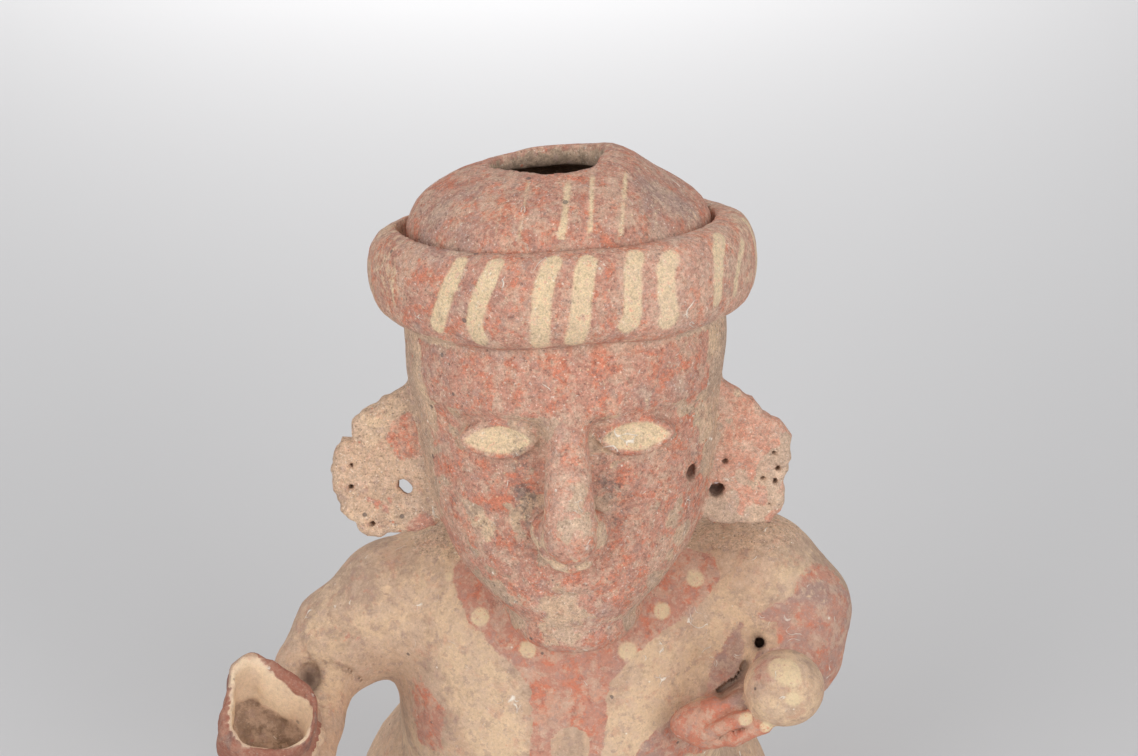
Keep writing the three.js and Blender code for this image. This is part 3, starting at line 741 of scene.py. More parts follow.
def stripe_coords(x, f, a):
    x = x - BAND["x"]
    t = np.arctan2(x / BAND["rx"], f / BAND["rf"])
    k0 = np.sqrt((x / BAND["rx"]) ** 2 + (f / BAND["rf"]) ** 2) + 1e-6
    k1 = np.sqrt((x / BAND["rx"] ** 2) ** 2 + (f / BAND["rf"] ** 2) ** 2) + 1e-9
    r = k0 * (k0 - 1) / k1
    psi = np.arctan2((a - BAND["z"]) / BAND["high"], r / BAND["thick"])
    arc = 0.5 * (BAND["rx"] + BAND["rf"] + 2 * BAND["thick"])
    return arc * t, 12.7 * psi


def capsule(u, v, pts, r):
    d = np.full(u.shape, 1e3)
    for (a, b), (c, e) in zip(pts, pts[1:]):
        ba = np.array([c - a, e - b])
        t = np.clip(((u - a) * ba[0] + (v - b) * ba[1]) / (ba @ ba), 0, 1)
        d = np.minimum(d, np.hypot(u - a - t * ba[0], v - b - t * ba[1]))
    return d - r


# Cream stripes on the headband, from the top down: angle round the band and angle round its section, in degrees.
STRIPES = [
    [(-56.3, 43), (-54.7, 17), (-56.0, -22)], [(-30.4, 60), (-31.2, 33), (-33.8, 9), (-36.0, -14), (-37.8, -38)],
    [(-18.7, 60), (-19.7, 34), (-22.6, 7), (-24.6, -19), (-23.9, -48)], [(-1.7, 61), (-3.0, 38), (-4.8, 12), (-5.7, -19), (-6.3, -54)],
    [(8.2, 58), (6.7, 33), (5.8, 11), (4.8, -17), (3.4, -50)], [(22.8, 62), (20.3, 35), (19.9, 8), (19.5, -20), (18.3, -32)],
    [(33.3, 52), (30.1, 29), (29.7, 2), (31.0, -20), (29.9, -32)], [(56.4, 62), (51.0, 33), (48.5, 4), (48.6, -22)],
    [(69.0, 45), (63.5, 21), (59.3, -3), (59.4, -29)],
]
ARC = 0.5 * (BAND["rx"] + BAND["rf"] + 2 * BAND["thick"])
su, sv = stripe_coords(HX, HF, HA)
stripes = np.full(n, 1e3)
for i, line_ in enumerate(STRIPES):
    pts = [(ARC * math.radians(t) - 0.7, 12.7 * math.radians(q)) for t, q in line_]
    (a0, b0), (a1, b1) = pts[0], pts[-1]
    pts[0], pts[-1] = (a0, b0 - 2.0), (a1, b1 + 2.0)
    stripes = np.minimum(stripes, capsule(su, sv, pts, [0.5, 2.3, 2.5, 2.6, 2.7, 2.5, 2.5, 2.2, 1.3][i]))
# the same stripes go on round the back
turn_at, count = 84.0, 0
while turn_at < 360 - 84:
    for whole in (0, -360):
        u0 = ARC * math.radians(turn_at + whole)
        stripes = np.minimum(stripes, capsule(su, sv, [(u0, 11.0), (u0 - 0.8, 0.0), (u0 - 2.0, -10.0)], 2.3))
    count += 1
    turn_at += 13.0 if count % 2 else 20.0
stripes = np.where(on_band > 0.3, stripes, 50.0)

# Thin cream lines down the cap.
CAP_LINES = [((-8.6, 22.5, 55.3), (-11.6, 39.9, 42.1), 0.35), ((2.6, 27.4, 53.3), (0.4, 42.0, 41.0), 1.05),
             ((9.7, 22.6, 54.7), (8.4, 41.5, 41.0), 0.7), ((19.3, 16.8, 54.5), (17.0, 40.0, 41.0), 0.8),
             ((-15.4, 22.4, 54.1), (-18.5, 39.0, 41.0), 0.15), ((27.8, 18.4, 50.1), (27.5, 34.0, 41.0), 0.1)]
lines = np.full(n, 1e3)
for top, foot, r in CAP_LINES:
    a, b = np.array(top), np.array(foot)
    t = np.clip((HA - a[2]) / (b[2] - a[2]), -0.1, 1.1)
    d = np.hypot(HX - (a[0] + t * (b[0] - a[0])), 0.6 * np.maximum(0, np.abs(HA - 0.5 * (a[2] + b[2])) - 0.5 * abs(a[2] - b[2])))
    lines = np.minimum(lines, np.where(HF > 8, d - r, 50))
lines = np.where(on_cap > 0.3, lines, 50.0)

# Necklace dots, nails and eyes.
DOTS = [(-36.3, -14.2, 212.4, 2.4), (-26.5, -27.5, 208.5, 3.0), (-11.7, -35.2, 202.1, 2.9), (19.3, -34.4, 200.9, 3.2),
        (30.1, -25.1, 208.8, 2.8), (40.8, -14.2, 212.4, 3.1), (55.7, -58.5, 194.8, 2.4), (62.0, -59.4, 192.4, 2.1)]
dots = np.min([np.linalg.norm(P - np.array(d[:3]), axis=1) - d[3] for d in DOTS], 0)
eyes = np.where((HF > 34) & (np.abs(HX) < 33), eye_lens(HX, HA, -0.2), 50.0)
cream = -np.minimum.reduce([stripes, dots, eyes, lines + 0.15])
# what is left of the cream paint on the gourd
left_on = (3.4 * near((65.6, -52.4, 211.5), (4.6, 4, 3.4)) + 3.0 * near((68.6, -55.0, 210.6), (3.2, 3.2, 4.4))
           + 2.6 * near((69.3, -60.5, 205.3), (2.8, 3, 2.4)) - 1.3)
cream = np.where(d_gourd < 1.0, np.maximum(cream, left_on), cream)


def outline(points, steps=14):
    """A closed smooth line through a few points."""
    p = np.array(points, float)
    k = len(p)
    out = []
    for i in range(k):
        a, b, c, d = p[i - 1], p[i], p[(i + 1) % k], p[(i + 2) % k]
        for t in np.linspace(0, 1, steps, endpoint=False):
            out.append(0.5 * (2 * b + (c - a) * t + (2 * a - 5 * b + 4 * c - d) * t**2 + (3 * b - a - 3 * c + d) * t**3))
    return np.array(out)


def inside_of(points, u, v):
    """Distance to a closed line, above zero inside it."""
    q = outline(points)
    d = np.full(u.shape, 1e6)
    odd = np.zeros(u.shape, bool)
    for a, b in zip(q, np.roll(q, -1, 0)):
        ba = b - a
        t = np.clip(((u - a[0]) * ba[0] + (v - a[1]) * ba[1]) / (ba @ ba + 1e-9), 0, 1)
        d = np.minimum(d, np.hypot(u - a[0] - t * ba[0], v - a[1] - t * ba[1]))
        cross = (a[1] > v) != (b[1] > v)
        odd ^= cross & (u < a[0] + (v - a[1]) * ba[0] / (ba[1] if abs(ba[1]) > 1e-9 else 1e-9))
    return np.where(odd, d, -d)


def chest_uv(p):
    p = np.asarray(p, float)
    return np.stack([p[..., 0], CHEST[0] * p[..., 1] + CHEST[1] * p[..., 2]], -1)


cu, cv = chest_uv(P).T
front = smooth((-N[:, 1] + 0.35 + 0.6 * np.maximum(N[:, 2], 0)) / 0.3) * (HA < -40)
LEAF_R = [(-39.7, -27.1, 198.1), (-30, -30.7, 201.6), (-20.5, -35.7, 197.7), (-11.1, -42.2, 186.6), (-11.2, -49, 168.4),
          (-14.0, -50.5, 158), (-23.0, -48.5, 155), (-31.2, -42.6, 164.8), (-37.2, -37.3, 175.7), (-45.7, -28.8, 183.5)]
LEAF_L = [(50.9, -19.4, 206.2), (39.4, -27.2, 198.2), (17.2, -41.8, 186.2), (11, -49, 168.4), (13, -51, 158),
          (27.8, -48.5, 160.8), (38, -40, 172), (50, -27.6, 188.7), (56.7, -22.5, 200.8)]
NECK_RED = [(-33, -8, 216), (-32.5, -22.4, 207.2), (-24, -32.5, 203), (-14.0, -39, 194.7), (-11.1, -43, 185.6),
            (-12.8, -48.8, 170), (-14, -52, 156), (14, -52, 156), (12.8, -48.8, 170), (13.2, -42, 186.5), (17, -38.5, 195.5),
            (30, -29, 203.5), (44.7, -18.4, 208.3), (44, -6, 216), (0, -6, 222)]
leaf = np.maximum(inside_of(chest_uv(LEAF_R), cu, cv), inside_of(chest_uv(LEAF_L), cu, cv))
neck_red = inside_of(chest_uv(NECK_RED), cu, cv)
disc = 7.0 - np.linalg.norm(P - np.array([1.5, -48.7, 172.6]), axis=1)

torso_zone = (P[:, 2] < 226) & (HA < -30)
red = np.full(n, -5.0)
red = np.where(torso_zone & (front > 0.4), np.maximum(red, np.minimum(neck_red, 4)), red)
patches = 0.5 * fbm(P, 22, 3, 31)
# fading red between leaf and arm, at the flanks and on the hips
red = np.where(torso_zone & (leaf < 0), np.maximum(red, np.minimum(-2.2 + 5.8 * near((-44, -33, 170), (6, 12, 12))
                                                                  + 5.0 * near((44, -36, 168), (8, 12, 14)) + 3 * patches, 4)), red)
red = np.where(torso_zone & (front > 0.4) & (leaf > 0), np.minimum(red, -leaf), red)
red = np.where(torso_zone & (disc > 0), np.minimum(red, -disc), red)
# arms
arm_left = 6.5 * near((78, -18, 203), (13, 16, 10)) + 6.5 * near((82, -20, 193), (12, 14, 11)) - 2.6
red = np.where(torso_zone, np.maximum(red, np.minimum(arm_left + 2.0 * patches, 4)), red)
arm_right = (2.6 * near((-64, -19, 199), (12, 9, 10)) + 2.4 * near((-59, -16, 205), (9, 8, 7)) + 2.4 * near((-71, -22, 190), (7, 7, 9))
             - 4.0 + 2.4 * noise(P, 7, 33))
red = np.where(torso_zone, np.maximum(red, np.minimum(arm_right, -0.2)), red)
shoulder = 5.5 * near((46.5, -1, 214), (9, 6, 5)) - 2.6
red = np.where(torso_zone, np.maximum(red, np.minimum(shoulder, 2)), red)
FOREARM = [(88, 158), (72.4, 154.3), (66.5, 151.8), (60.7, 147.6), (57.2, 145.9), (54.2, 143.6), (51.3, 138.9), (49.1, 134.8), (46.1, 130.2),
           (44.8, 124.3), (39.6, 119.4), (33.2, 113.8), (27.9, 109.8), (24, 98), (60, 92), (98, 110), (104, 140)]
forearm = inside_of([(a, b) for a, b in FOREARM], cu, cv)
forearm = np.where((P[:, 0] > 20) & (P[:, 2] > 160) & (P[:, 2] < 214), forearm, -9)
forearm = np.minimum(forearm, np.where(P[:, 1] > -30, (-9.0 - P[:, 1]) * 0.6 + 3.0 * fbm(P, 12, 2, 35), 9))
tan_at = near((60.0, -25, 199.5), (5.5, 6, 6.5)) + 0.9 * near((57.0, -33, 192.5), (3.2, 5, 5)) + 0.8 * near((66, -27, 200), (5, 5, 4))
forearm = np.minimum(forearm, 3.0 - 6.0 * tan_at)
red = np.where(torso_zone, np.maximum(red, np.minimum(forearm, 4)), red)
hand = smooth((2.0 - np.minimum(d_fing, d_palm)) / 1.5)
red = np.where((hand > 0.1) & (P[:, 1] < -36), np.maximum(red, 5 * hand - 0.5), red)
red = np.where(d_gourd < 1.0, -1.2 + 5.5 * near((62.5, -51.7, 211.0), (5.5, 4, 4)) + 0.9 * noise(P, 6, 34), red)
# head
face_tone = 1.4 * fbm(P, 16, 3, 41) + 1.0 * fbm(P, 6, 2, 42)
on_face = head_zone * smooth((HF - 2) / 12)
face = (0.5 + 3.0 * near((-26, 34, -33), (12, 12, 9), True) + 2.6 * near((24, 36, -37), (12, 12, 10), True)
        + 1.6 * near((0, 48, -30), (9, 12, 20), True) + 1.6 * near((-20, 36, -62), (14, 12, 9), True)
        - 3.0 * smooth((np.abs(HX) - 36) / 8) + 2.2 * face_tone)
plate = smooth((HA + 9.5) / 2.0) * smooth((44.5 - np.abs(HX)) / 4) * smooth((HF - 8) / 10)
face = np.where(plate > 0.5, 3.2 + 1.2 * face_tone - 4.5 * smooth((np.abs(HX) - 38) / 6), face)
red = np.where(head_zone > 0.3, np.where(HF > 2, face, -1.5 + 2.0 * face_tone), red)
red = np.where(on_cap > 0.3, 5.0, red)
red = np.where(on_band > 0.3, 4.2 - 3.4 * smooth((17.5 - HA) / 7) * smooth((np.abs(HX) - 28) / 16) - 3.6 * smooth((14.6 - HA) / 1.8)
               - 4.8 * near((-57, 8, 22), (10, 18, 20), True) - 3.2 * near((57, 4, 22), (8, 12, 14), True), red)
ear_r = (-2.2 + 7.6 * near((-48.5, 9, -26.0), (6.4, 9, 6.0), True) + 6.4 * near((-46.0, 9, -57.5), (4.0, 9, 5.5), True)
         + 1.6 * near((-58, 9, -46), (6, 9, 7), True) + 1.3 * fbm(P, 6, 3, 51))
ear_l = (1.0 + 3.6 * fbm(P, 8, 3, 52) - 4.2 * near((63.5, 9, -39.5), (5, 9, 6), True) - 3.0 * near((48, 9, -56), (10, 9, 5), True)
         + 2.0 * near((54, 9, -24), (10, 9, 8), True))
red = np.where(on_ear["right"] > 0.4, ear_r, red)
red = np.where(on_ear["left"] > 0.4, ear_l, red)
red = np.where(in_vent > 0.4, -5, red)
red = np.where(hollow, -5, red)

# cup: red-brown walls, cream inside with a brown stain on the floor
brown = np.zeros(n)
cup_c = np.stack(CUP.local(P[:, 0], P[:, 1], P[:, 2]), 1)
cup_t = np.degrees(np.arctan2(cup_c[:, 1], cup_c[:, 0])) % 360
outer_cup = smooth((1.6 - d_cup) / 1.0) * smooth((d_cup_in - 0.9) / 0.8)
on_cup = (d_cup < 1.6) & (np.abs(cup_c[:, 0]) < 21) & (np.abs(cup_c[:, 1]) < 22)
# the red-brown slip laps over the rim: how far down inside it reaches, in steps of 22.5 degrees from the figure's left
LAP = [3.2, 4.6, 4.0, 3.0, 2.0, -0.6, -0.8, -0.4, 0.6, 0.8, 0.8, 0.8, 0.8, 0.8, 1.0, 2.0, 3.2]
lap = np.interp(cup_t, np.arange(17) * 22.5, LAP) + 0.5 * noise(P, 3.0, 62)
bare_rim = smooth((cup_t - 100) / 12) * smooth((168 - cup_t) / 12)
slip = np.maximum(smooth((d_cup_in - 0.7 - 1.9 * bare_rim) / 0.5), smooth((cup_c[:, 2] + lap) / 0.5) * (1 - bare_rim))
brown = np.where(on_cup, slip, brown)
inner_cup = on_cup & (d_cup_in < 1.6) & (slip < 0.6)
red = np.where(on_cup, -5, red)
stain_and_shade = np.where(inner_cup, smooth((-13.0 - cup_c[:, 2] - 0.16 * cup_c[:, 0] + 1.0 * noise(P, 4, 61)) / 0.8), 0)
# painted shade in and beside the gap next to the gourd
beside = furrow(SLIT, (0, 0, 0), (1, 1, 1))[0](P[:, 0] - 0.4, P[:, 1], P[:, 2])
beside = np.where((P[:, 1] < -22) & (P[:, 1] > -52) & (d_gourd > 0.8) & (P[:, 0] > 40), beside, 20)
# beside the gap next to the gourd this adds painted shade to the cup's stain amount
stain_and_shade = np.maximum(stain_and_shade, 0.5 * smooth((1.7 - beside) / 1.6))
# painted shade: inside holes, in the gap, and where the cup meets the forearm
shade = np.maximum(0.5 * smooth((0.25 - beside) / 0.6), 0.9 * near((36.0, 22.0, -35.6), (2.2, 2.8, 3.2), True))
shade = np.maximum(shade, np.where(d_cup > 1.2, 1.15 * near((-81.9, -30.2, 183.4), (3.2, 5.6, 3.2)), 0))
shade = np.maximum(shade, 1.5 * near((61.6, -24, 194), (2.4, 4.5, 4.5)))
for side in ("right", "left"):
    for x, a, r in [(q[0], q[1], q[2]) for q in EAR_HOLES[side]] + SMALL_HOLES[side]:
        deep = smooth((9.1 - HF) / 1.2) * smooth((HF - 3.6) / 1.2) * smooth((r + 1.1 - np.hypot(HX - x, HA - a - 0.5 * (6.0 - HF) * (side == "left") * (r > 2))) / 0.5)
        shade = np.maximum(shade, (0.85 if r > 2 else 0.35) * deep)
shade = np.clip(shade, 0, 0.9)

# amounts
mauve = (0.20 + 0.35 * near((-30, 22, 46), (22, 20, 14), True) + 0.3 * near((32, 18, 46), (16, 20, 12), True)
         + 0.25 * fbm(P, 17, 2, 71))
mauve = mauve + 0.15 * plate * smooth((np.abs(HX) - 6) / 20) - 0.15 * near((26, 44, 24), (14, 20, 16), True) + 0.35 * near((0, 44, -76), (14, 12, 12), True)
mauve = mauve + 0.3 * near((22, -37, 195), (8, 10, 10)) + 0.7 * near((56, -45, 192), (6, 8, 6))
mauve = mauve + 0.45 * smooth((5.5 - forearm) / 4) * smooth((forearm + 1) / 1.5) * (HA < -40) - 0.3 * hand
# black is mineral bloom, and near the cup's notch and in the hole behind the gourd it is painted shade
black = (0.85 * near((-13, 42, -34), (7, 10, 20), True) + 0.75 * near((13, 42, -36), (7, 10, 22), True) + 0.5 * near((-26, 38, -10), (10, 9, 4), True)
         + 0.5 * near((-36, 26, -44), (9, 12, 12), True) + 0.5 * near((36, 26, -44), (9, 12, 12), True)
         + 0.35 * near((0, 40, -72), (18, 12, 10), True) + 0.35 * near((-40, 18, -4), (8, 10, 8), True)
         + 0.3 * near((42, 18, -2), (8, 10, 8), True) + 0.35 * near((0, 20, 50), (40, 30, 14), True)
         + 0.3 * near((72, -10, 217), (12, 8, 6)) + 0.35 * near((32, -22, 205), (10, 8, 8))
         + 0.4 * near((52, 9, -16), (14, 9, 5), True) + 0.9 * near((-82, -29, 184.4), (4.5, 7, 5)) + 1.5 * near((61.6, -24, 194), (2.6, 7, 7)))
black = np.clip(black + 0.10 * (P[:, 2] > 214) + 0.10 * fbm(P, 12, 2, 72), 0, 1)
wear = np.clip(0.32 + 0.25 * fbm(P, 13, 3, 73) + 0.25 * np.clip(-cav, 0, 1) + 0.3 * smooth((np.abs(HX) - 40) / 10) * on_band, 0, 1)
wear = np.where(hand > 0.2, wear * 0.5, wear)
root = np.clip(near((45, -28, 203), (10, 8, 8)) + 0.9 * near((71, -26, 205), (9, 8, 6)) + 0.7 * near((16, 42, -14), (9, 8, 8), True)
               + 0.5 * near((4, 52, -34), (7, 9, 12), True) + 0.5 * near((26, -36, 197), (12, 8, 8))
               + 0.35 * near((-12, 40, 40), (18, 12, 6), True) + 0.4 * near((34, 40, 20), (14, 10, 8), True)
               + 0.35 * near((-28, 40, 16), (12, 8, 6), True) + 0.3 * near((34, 30, -52), (10, 10, 12), True), 0, 1)
light = np.clip(0.5 + 0.5 * fbm(P, 24, 3, 74) + 0.35 * smooth(leaf / 3) * (P[:, 2] < 215), 0, 1)
light = light + 0.45 * near((-74, -14, 196), (16, 20, 16)) + 0.6 * near((27, -39, 190), (14, 14, 14))
light = np.where(d_gourd < 1.0, np.clip(0.75 + 0.4 * fbm(P, 9, 2, 75), 0, 1), light)
# inside the cup the clay is set lighter: painted light on the cup's lit inner wall
light = np.where(inner_cup, 1.1, light)
cream = np.where(inner_cup & (stain_and_shade < 0.5), 0.7 + 0.5 * noise(P, 5, 63), cream)
# where the surface is paler, with painted light inside the cup, and where the red slip has kept its colour
pale = 0.5 * on_ear["left"] + 0.7 * near((0, 50, -32), (8, 12, 16), True) + 0.35 * on_band * smooth((HX - 10) / 20) + np.where(inner_cup, 1.0 - stain_and_shade, 0.0)
pale = np.clip(pale, 0, 1)
bright = np.clip(0.75 * hand + 0.9 * near((-48.5, 9, -26.0), (7, 9, 7), True) + 0.45 * on_ear["left"] + 0.08 * smooth(neck_red / 2) * torso_zone * (leaf < 0), 0, 0.8)
dark_in = np.where((in_vent > 0.4) | hollow, 1.0, 0.0)
dark_in = np.maximum(dark_in, np.where((P[:, 2] < 212) & (P[:, 2] > 80) & (at(column(**TORSO, low=64, high=230, rounding=6)) < -4), 1.0, 0.0))

ring_at = np.hypot(HX + 3.7, HF) + 1e-3
calm = np.clip(0.35 + 0.65 * smooth((P[:, 2] - 214) / 20) + 0.4 * (1 - smooth((head_zone + on_cap + on_band + ear_any) < 0.5)), 0.35, 1)
calm = np.where((HA > -75) & (P[:, 2] > 214), 1.0, calm)

for name, v in dict(shade=shade, pale=pale, bright=bright, on_cap=on_cap, dir_x=(HX + 3.7) / ring_at, dir_f=HF / ring_at, up_a=HA, calm=calm, red=red, cream=cream, brown=brown, stain_and_shade=stain_and_shade, mauve=mauve, black=black, wear=wear, root=root,
                    light=light, hollow_tone=dark_in, cav=cav).items():
    a = me.attributes.new(name, "FLOAT", "POINT")
    a.data.foreach_set("value", np.asarray(v, np.float32))

# ------------------------------------------------------------------ material


def lin(r, g, b):
    c = np.array([r, g, b]) / 255.0
    c = np.where(c <= 0.04045, c / 12.92, ((c + 0.055) / 1.055) ** 2.4)
    return (float(c[0]), float(c[1]), float(c[2]), 1.0)


CLAY = dict(
    buff=lin(209, 175, 146), buff_light=lin(226, 195, 160), buff_dark=lin(185, 156, 134),
    red=lin(197, 142, 122), red_bright=lin(207, 128, 101), red_deep=lin(166, 114, 99),
    mauve=lin(172, 143, 132), grey=lin(112, 101, 95), cream=lin(232, 208, 168), white=lin(242, 232, 217),
    brown=lin(160, 106, 88), stain_and_shade=lin(122, 99, 82), inside=lin(150, 130, 112),
    dust=lin(210, 180, 156), pepper=lin(118, 92, 80), umber=lin(134, 100, 90), coral=lin(205, 118, 90), pale=lin(240, 212, 188), crevice_shade=lin(84, 62, 54),
)


class Graph:
    def __init__(self, name):
        self.mat = bpy.data.materials.new(name)
        self.mat.use_nodes = True
        self.t = self.mat.node_tree
        self.t.nodes.clear()

    def node(self, kind, **props):
        nd = self.t.nodes.new(kind)
        for k, v in props.items():
            setattr(nd, k, v)
        return nd

    def put(self, socket, v):
        if isinstance(v, bpy.types.NodeSocket):
            self.t.links.new(v, socket)
        else:
            socket.default_value = v

    def math(self, op, a, b=0.0, c=None, clamp=False):
        nd = self.node("ShaderNodeMath", operation=op, use_clamp=clamp)
        self.put(nd.inputs[0], a)
        self.put(nd.inputs[1], b)
        if c is not None:
            self.put(nd.inputs[2], c)
        return nd.outputs[0]

    def mix(self, fac, a, b, blend="MIX"):
        nd = self.node("ShaderNodeMix", data_type="RGBA", blend_type=blend)
        self.put(nd.inputs[0], fac)
        self.put(nd.inputs[6], a)
        self.put(nd.inputs[7], b)
        return nd.outputs[2]

    def step(self, x, lo, hi, to0=0.0, to1=1.0):
        nd = self.node("ShaderNodeMapRange", interpolation_type="SMOOTHSTEP", clamp=True)
        for i, v in enumerate((x, lo, hi, to0, to1)):
            self.put(nd.inputs[i], v)
        return nd.outputs[0]

    def noise(self, vec, size, detail=3.0, rough=0.5, offset=0.0, colour=False):
        move = self.node("ShaderNodeVectorMath", operation="ADD")
        self.put(move.inputs[0], vec)
        move.inputs[1].default_value = (37.3 * offset, 11.7 * offset, 23.9 * offset)
        nd = self.node("ShaderNodeTexNoise", noise_dimensions="3D")
        self.put(nd.inputs["Vector"], move.outputs[0])
        nd.inputs["Scale"].default_value = 1.0 / size
        nd.inputs["Detail"].default_value = detail
        nd.inputs["Roughness"].default_value = rough
        return nd.outputs[1 if colour else 0]

    def attr(self, name):
        nd = self.node("ShaderNodeAttribute", attribute_name=name, attribute_type="GEOMETRY")
        return nd.outputs["Fac"]


g = Graph("slip_painted_clay")
coord = g.node("ShaderNodeTexCoord").outputs["Object"]
scale = g.node("ShaderNodeVectorMath", operation="SCALE")
g.put(scale.inputs[0], coord)
scale.inputs["Scale"].default_value = 1000.0
mm = scale.outputs[0]
warp = g.node("ShaderNodeVectorMath", operation="MULTIPLY_ADD")
g.put(warp.inputs[0], g.noise(mm, 5.0, 0, offset=3.0, colour=True))
warp.inputs[1].default_value = (1.0, 1.0, 1.0)
g.put(warp.inputs[2], mm)
mw = warp.outputs[0]

n_broad = g.noise(mm, 26, 3, 0.5, 1.0)
n_patch = g.noise(mw, 8, 5, 0.62, 2.0)
n_mott = g.noise(mw, 2.6, 5, 0.68, 4.0)
n_fine = g.noise(mm, 1.0, 3, 0.6, 5.0)
n_grain = g.noise(mm, 0.45, 2, 0.5, 6.0)

A = {k: g.attr(k) for k in ("red", "cream", "brown", "stain_and_shade", "mauve", "black", "wear", "root", "light", "hollow_tone", "cav", "on_cap", "calm", "pale", "bright", "shade")}

# bare and buff-slipped clay
c = g.mix(g.step(g.math("ADD", n_broad, g.math("MULTIPLY", g.math("SUBTRACT", n_patch, 0.5), 0.8)), 0.36, 0.62), CLAY["buff_dark"], CLAY["buff"])
lightness = g.math("ADD", A["light"], g.math("MULTIPLY", g.math("SUBTRACT", n_mott, 0.5), 1.1))
c = g.mix(g.step(lightness, 0.45, 0.95, 0.0, 0.85), c, CLAY["buff_light"])
pink = g.step(g.noise(mw, 5, 5, 0.7, 8.0), 0.52, 0.66, 0.0, 0.45)
c = g.mix(pink, c, CLAY["red"])

# red slip
edge = g.math("ADD", A["red"], g.math("ADD", g.math("MULTIPLY", g.math("SUBTRACT", n_patch, 0.5), 5.0),
                                      g.math("MULTIPLY", g.math("SUBTRACT", n_mott, 0.5), 3.5)))
in_red = g.step(edge, -0.35, 0.35)
tint = g.mix(g.step(g.noise(mw, 6.5, 5, 0.68, 9.0), 0.49, 0.58), CLAY["red"], CLAY["red_bright"])
tint = g.mix(g.step(g.noise(mw, 3.2, 5, 0.7, 10.0), 0.54, 0.63, 0.0, 0.7), tint, CLAY["red_deep"])
m = g.math("ADD", A["mauve"], g.math("ADD", g.math("MULTIPLY", g.math("SUBTRACT", n_patch, 0.5), 1.3),
                                     g.math("MULTIPLY", g.math("SUBTRACT", n_mott, 0.5), 1.0)))
tint = g.mix(g.step(m, 0.25, 0.85, 0.0, 0.9), tint, CLAY["mauve"])
tint = g.mix(A["bright"], tint, CLAY["red_bright"])
worn = g.math("ADD", g.math("MULTIPLY", n_mott, 0.6), g.math("MULTIPLY", n_patch, 0.4))
limit = g.math("SUBTRACT", 0.74, g.math("MULTIPLY", A["wear"], 0.34))
rub = g.step(g.math("SUBTRACT", worn, limit), 0.0, 0.10)
in_red = g.math("MULTIPLY", in_red, g.math("SUBTRACT", 1.0, g.math("MULTIPLY", rub, 0.85)))
c = g.mix(in_red, c, tint)

# brush marks that run down the cap from its vent
way = g.node("ShaderNodeCombineXYZ")
g.put(way.inputs[0], g.math("MULTIPLY", g.attr("dir_x"), 34.0))
g.put(way.inputs[1], g.math("MULTIPLY", g.attr("dir_f"), 34.0))
g.put(way.inputs[2], g.math("MULTIPLY", g.attr("up_a"), 0.10))
ways = g.node("ShaderNodeVectorMath", operation="ADD")
g.put(ways.inputs[0], way.outputs[0])
wob = g.node("ShaderNodeVectorMath", operation="MULTIPLY")
g.put(wob.inputs[0], g.noise(mm, 4.0, 2, offset=7.0, colour=True))
wob.inputs[1].default_value = (1.2, 1.2, 0.6)
g.put(ways.inputs[1], wob.outputs[0])
streak = g.noise(ways.outputs[0], 2.4, 4, 0.65, 15.0)
on_it = g.math("MULTIPLY", A["on_cap"], g.step(n_patch, 0.36, 0.56))
c = g.mix(g.math("MULTIPLY", on_it, g.step(streak, 0.54, 0.66, 0.0, 0.62)), c, CLAY["dust"])
c = g.mix(g.math("MULTIPLY", on_it, g.step(streak, 0.44, 0.34, 0.0, 0.5)), c, CLAY["red_deep"])

# cream paint
cedge = g.math("ADD", A["cream"], g.math("ADD", g.math("MULTIPLY", g.math("SUBTRACT", n_mott, 0.5), 1.6), g.math("MULTIPLY", g.math("SUBTRACT", n_patch, 0.5), 0.9)))
in_cream = g.step(cedge, -0.6, 0.5)
flake = g.step(g.math("ADD", g.math("MULTIPLY", n_fine, 0.45), g.math("MULTIPLY", n_mott, 0.55)), 0.54, 0.62)
in_cream = g.math("MULTIPLY", in_cream, g.math("SUBTRACT", 0.92, g.math("MULTIPLY", flake, 0.6)))
creamy = g.mix(g.step(n_fine, 0.4, 0.7, 0.0, 0.4), CLAY["cream"], CLAY["buff_light"])
c = g.mix(in_cream, c, creamy)

# cup walls, the stain in it, and painted shade beside the gap next to the gourd
c = g.mix(g.step(g.math("ADD", A["brown"], g.math("MULTIPLY", g.math("SUBTRACT", n_mott, 0.5), 0.9)), 0.45, 0.6), c, g.mix(g.step(n_patch, 0.50, 0.62), CLAY["brown"], CLAY["umber"]))
c = g.mix(g.math("MULTIPLY", A["stain_and_shade"], 0.9), c, g.mix(g.step(n_patch, 0.4, 0.6), CLAY["stain_and_shade"], CLAY["buff_dark"]))
c = g.mix(g.math("MULTIPLY", A["hollow_tone"], 0.85), c, CLAY["inside"])

# grey and black mineral bloom, with painted shade at the cup's notch and in the hole behind the gourd
speck = g.noise(mw, 1.7, 6, 0.75, 12.0)
bl = g.math("ADD", g.math("MULTIPLY", speck, 0.65), g.math("MULTIPLY", n_patch, 0.35))
bloom_and_shade = g.step(g.math("SUBTRACT", bl, g.math("SUBTRACT", 0.68, g.math("MULTIPLY", A["black"], 0.26))), 0.0, 0.08, 0.0, 0.72)
c = g.mix(bloom_and_shade, c, CLAY["grey"])

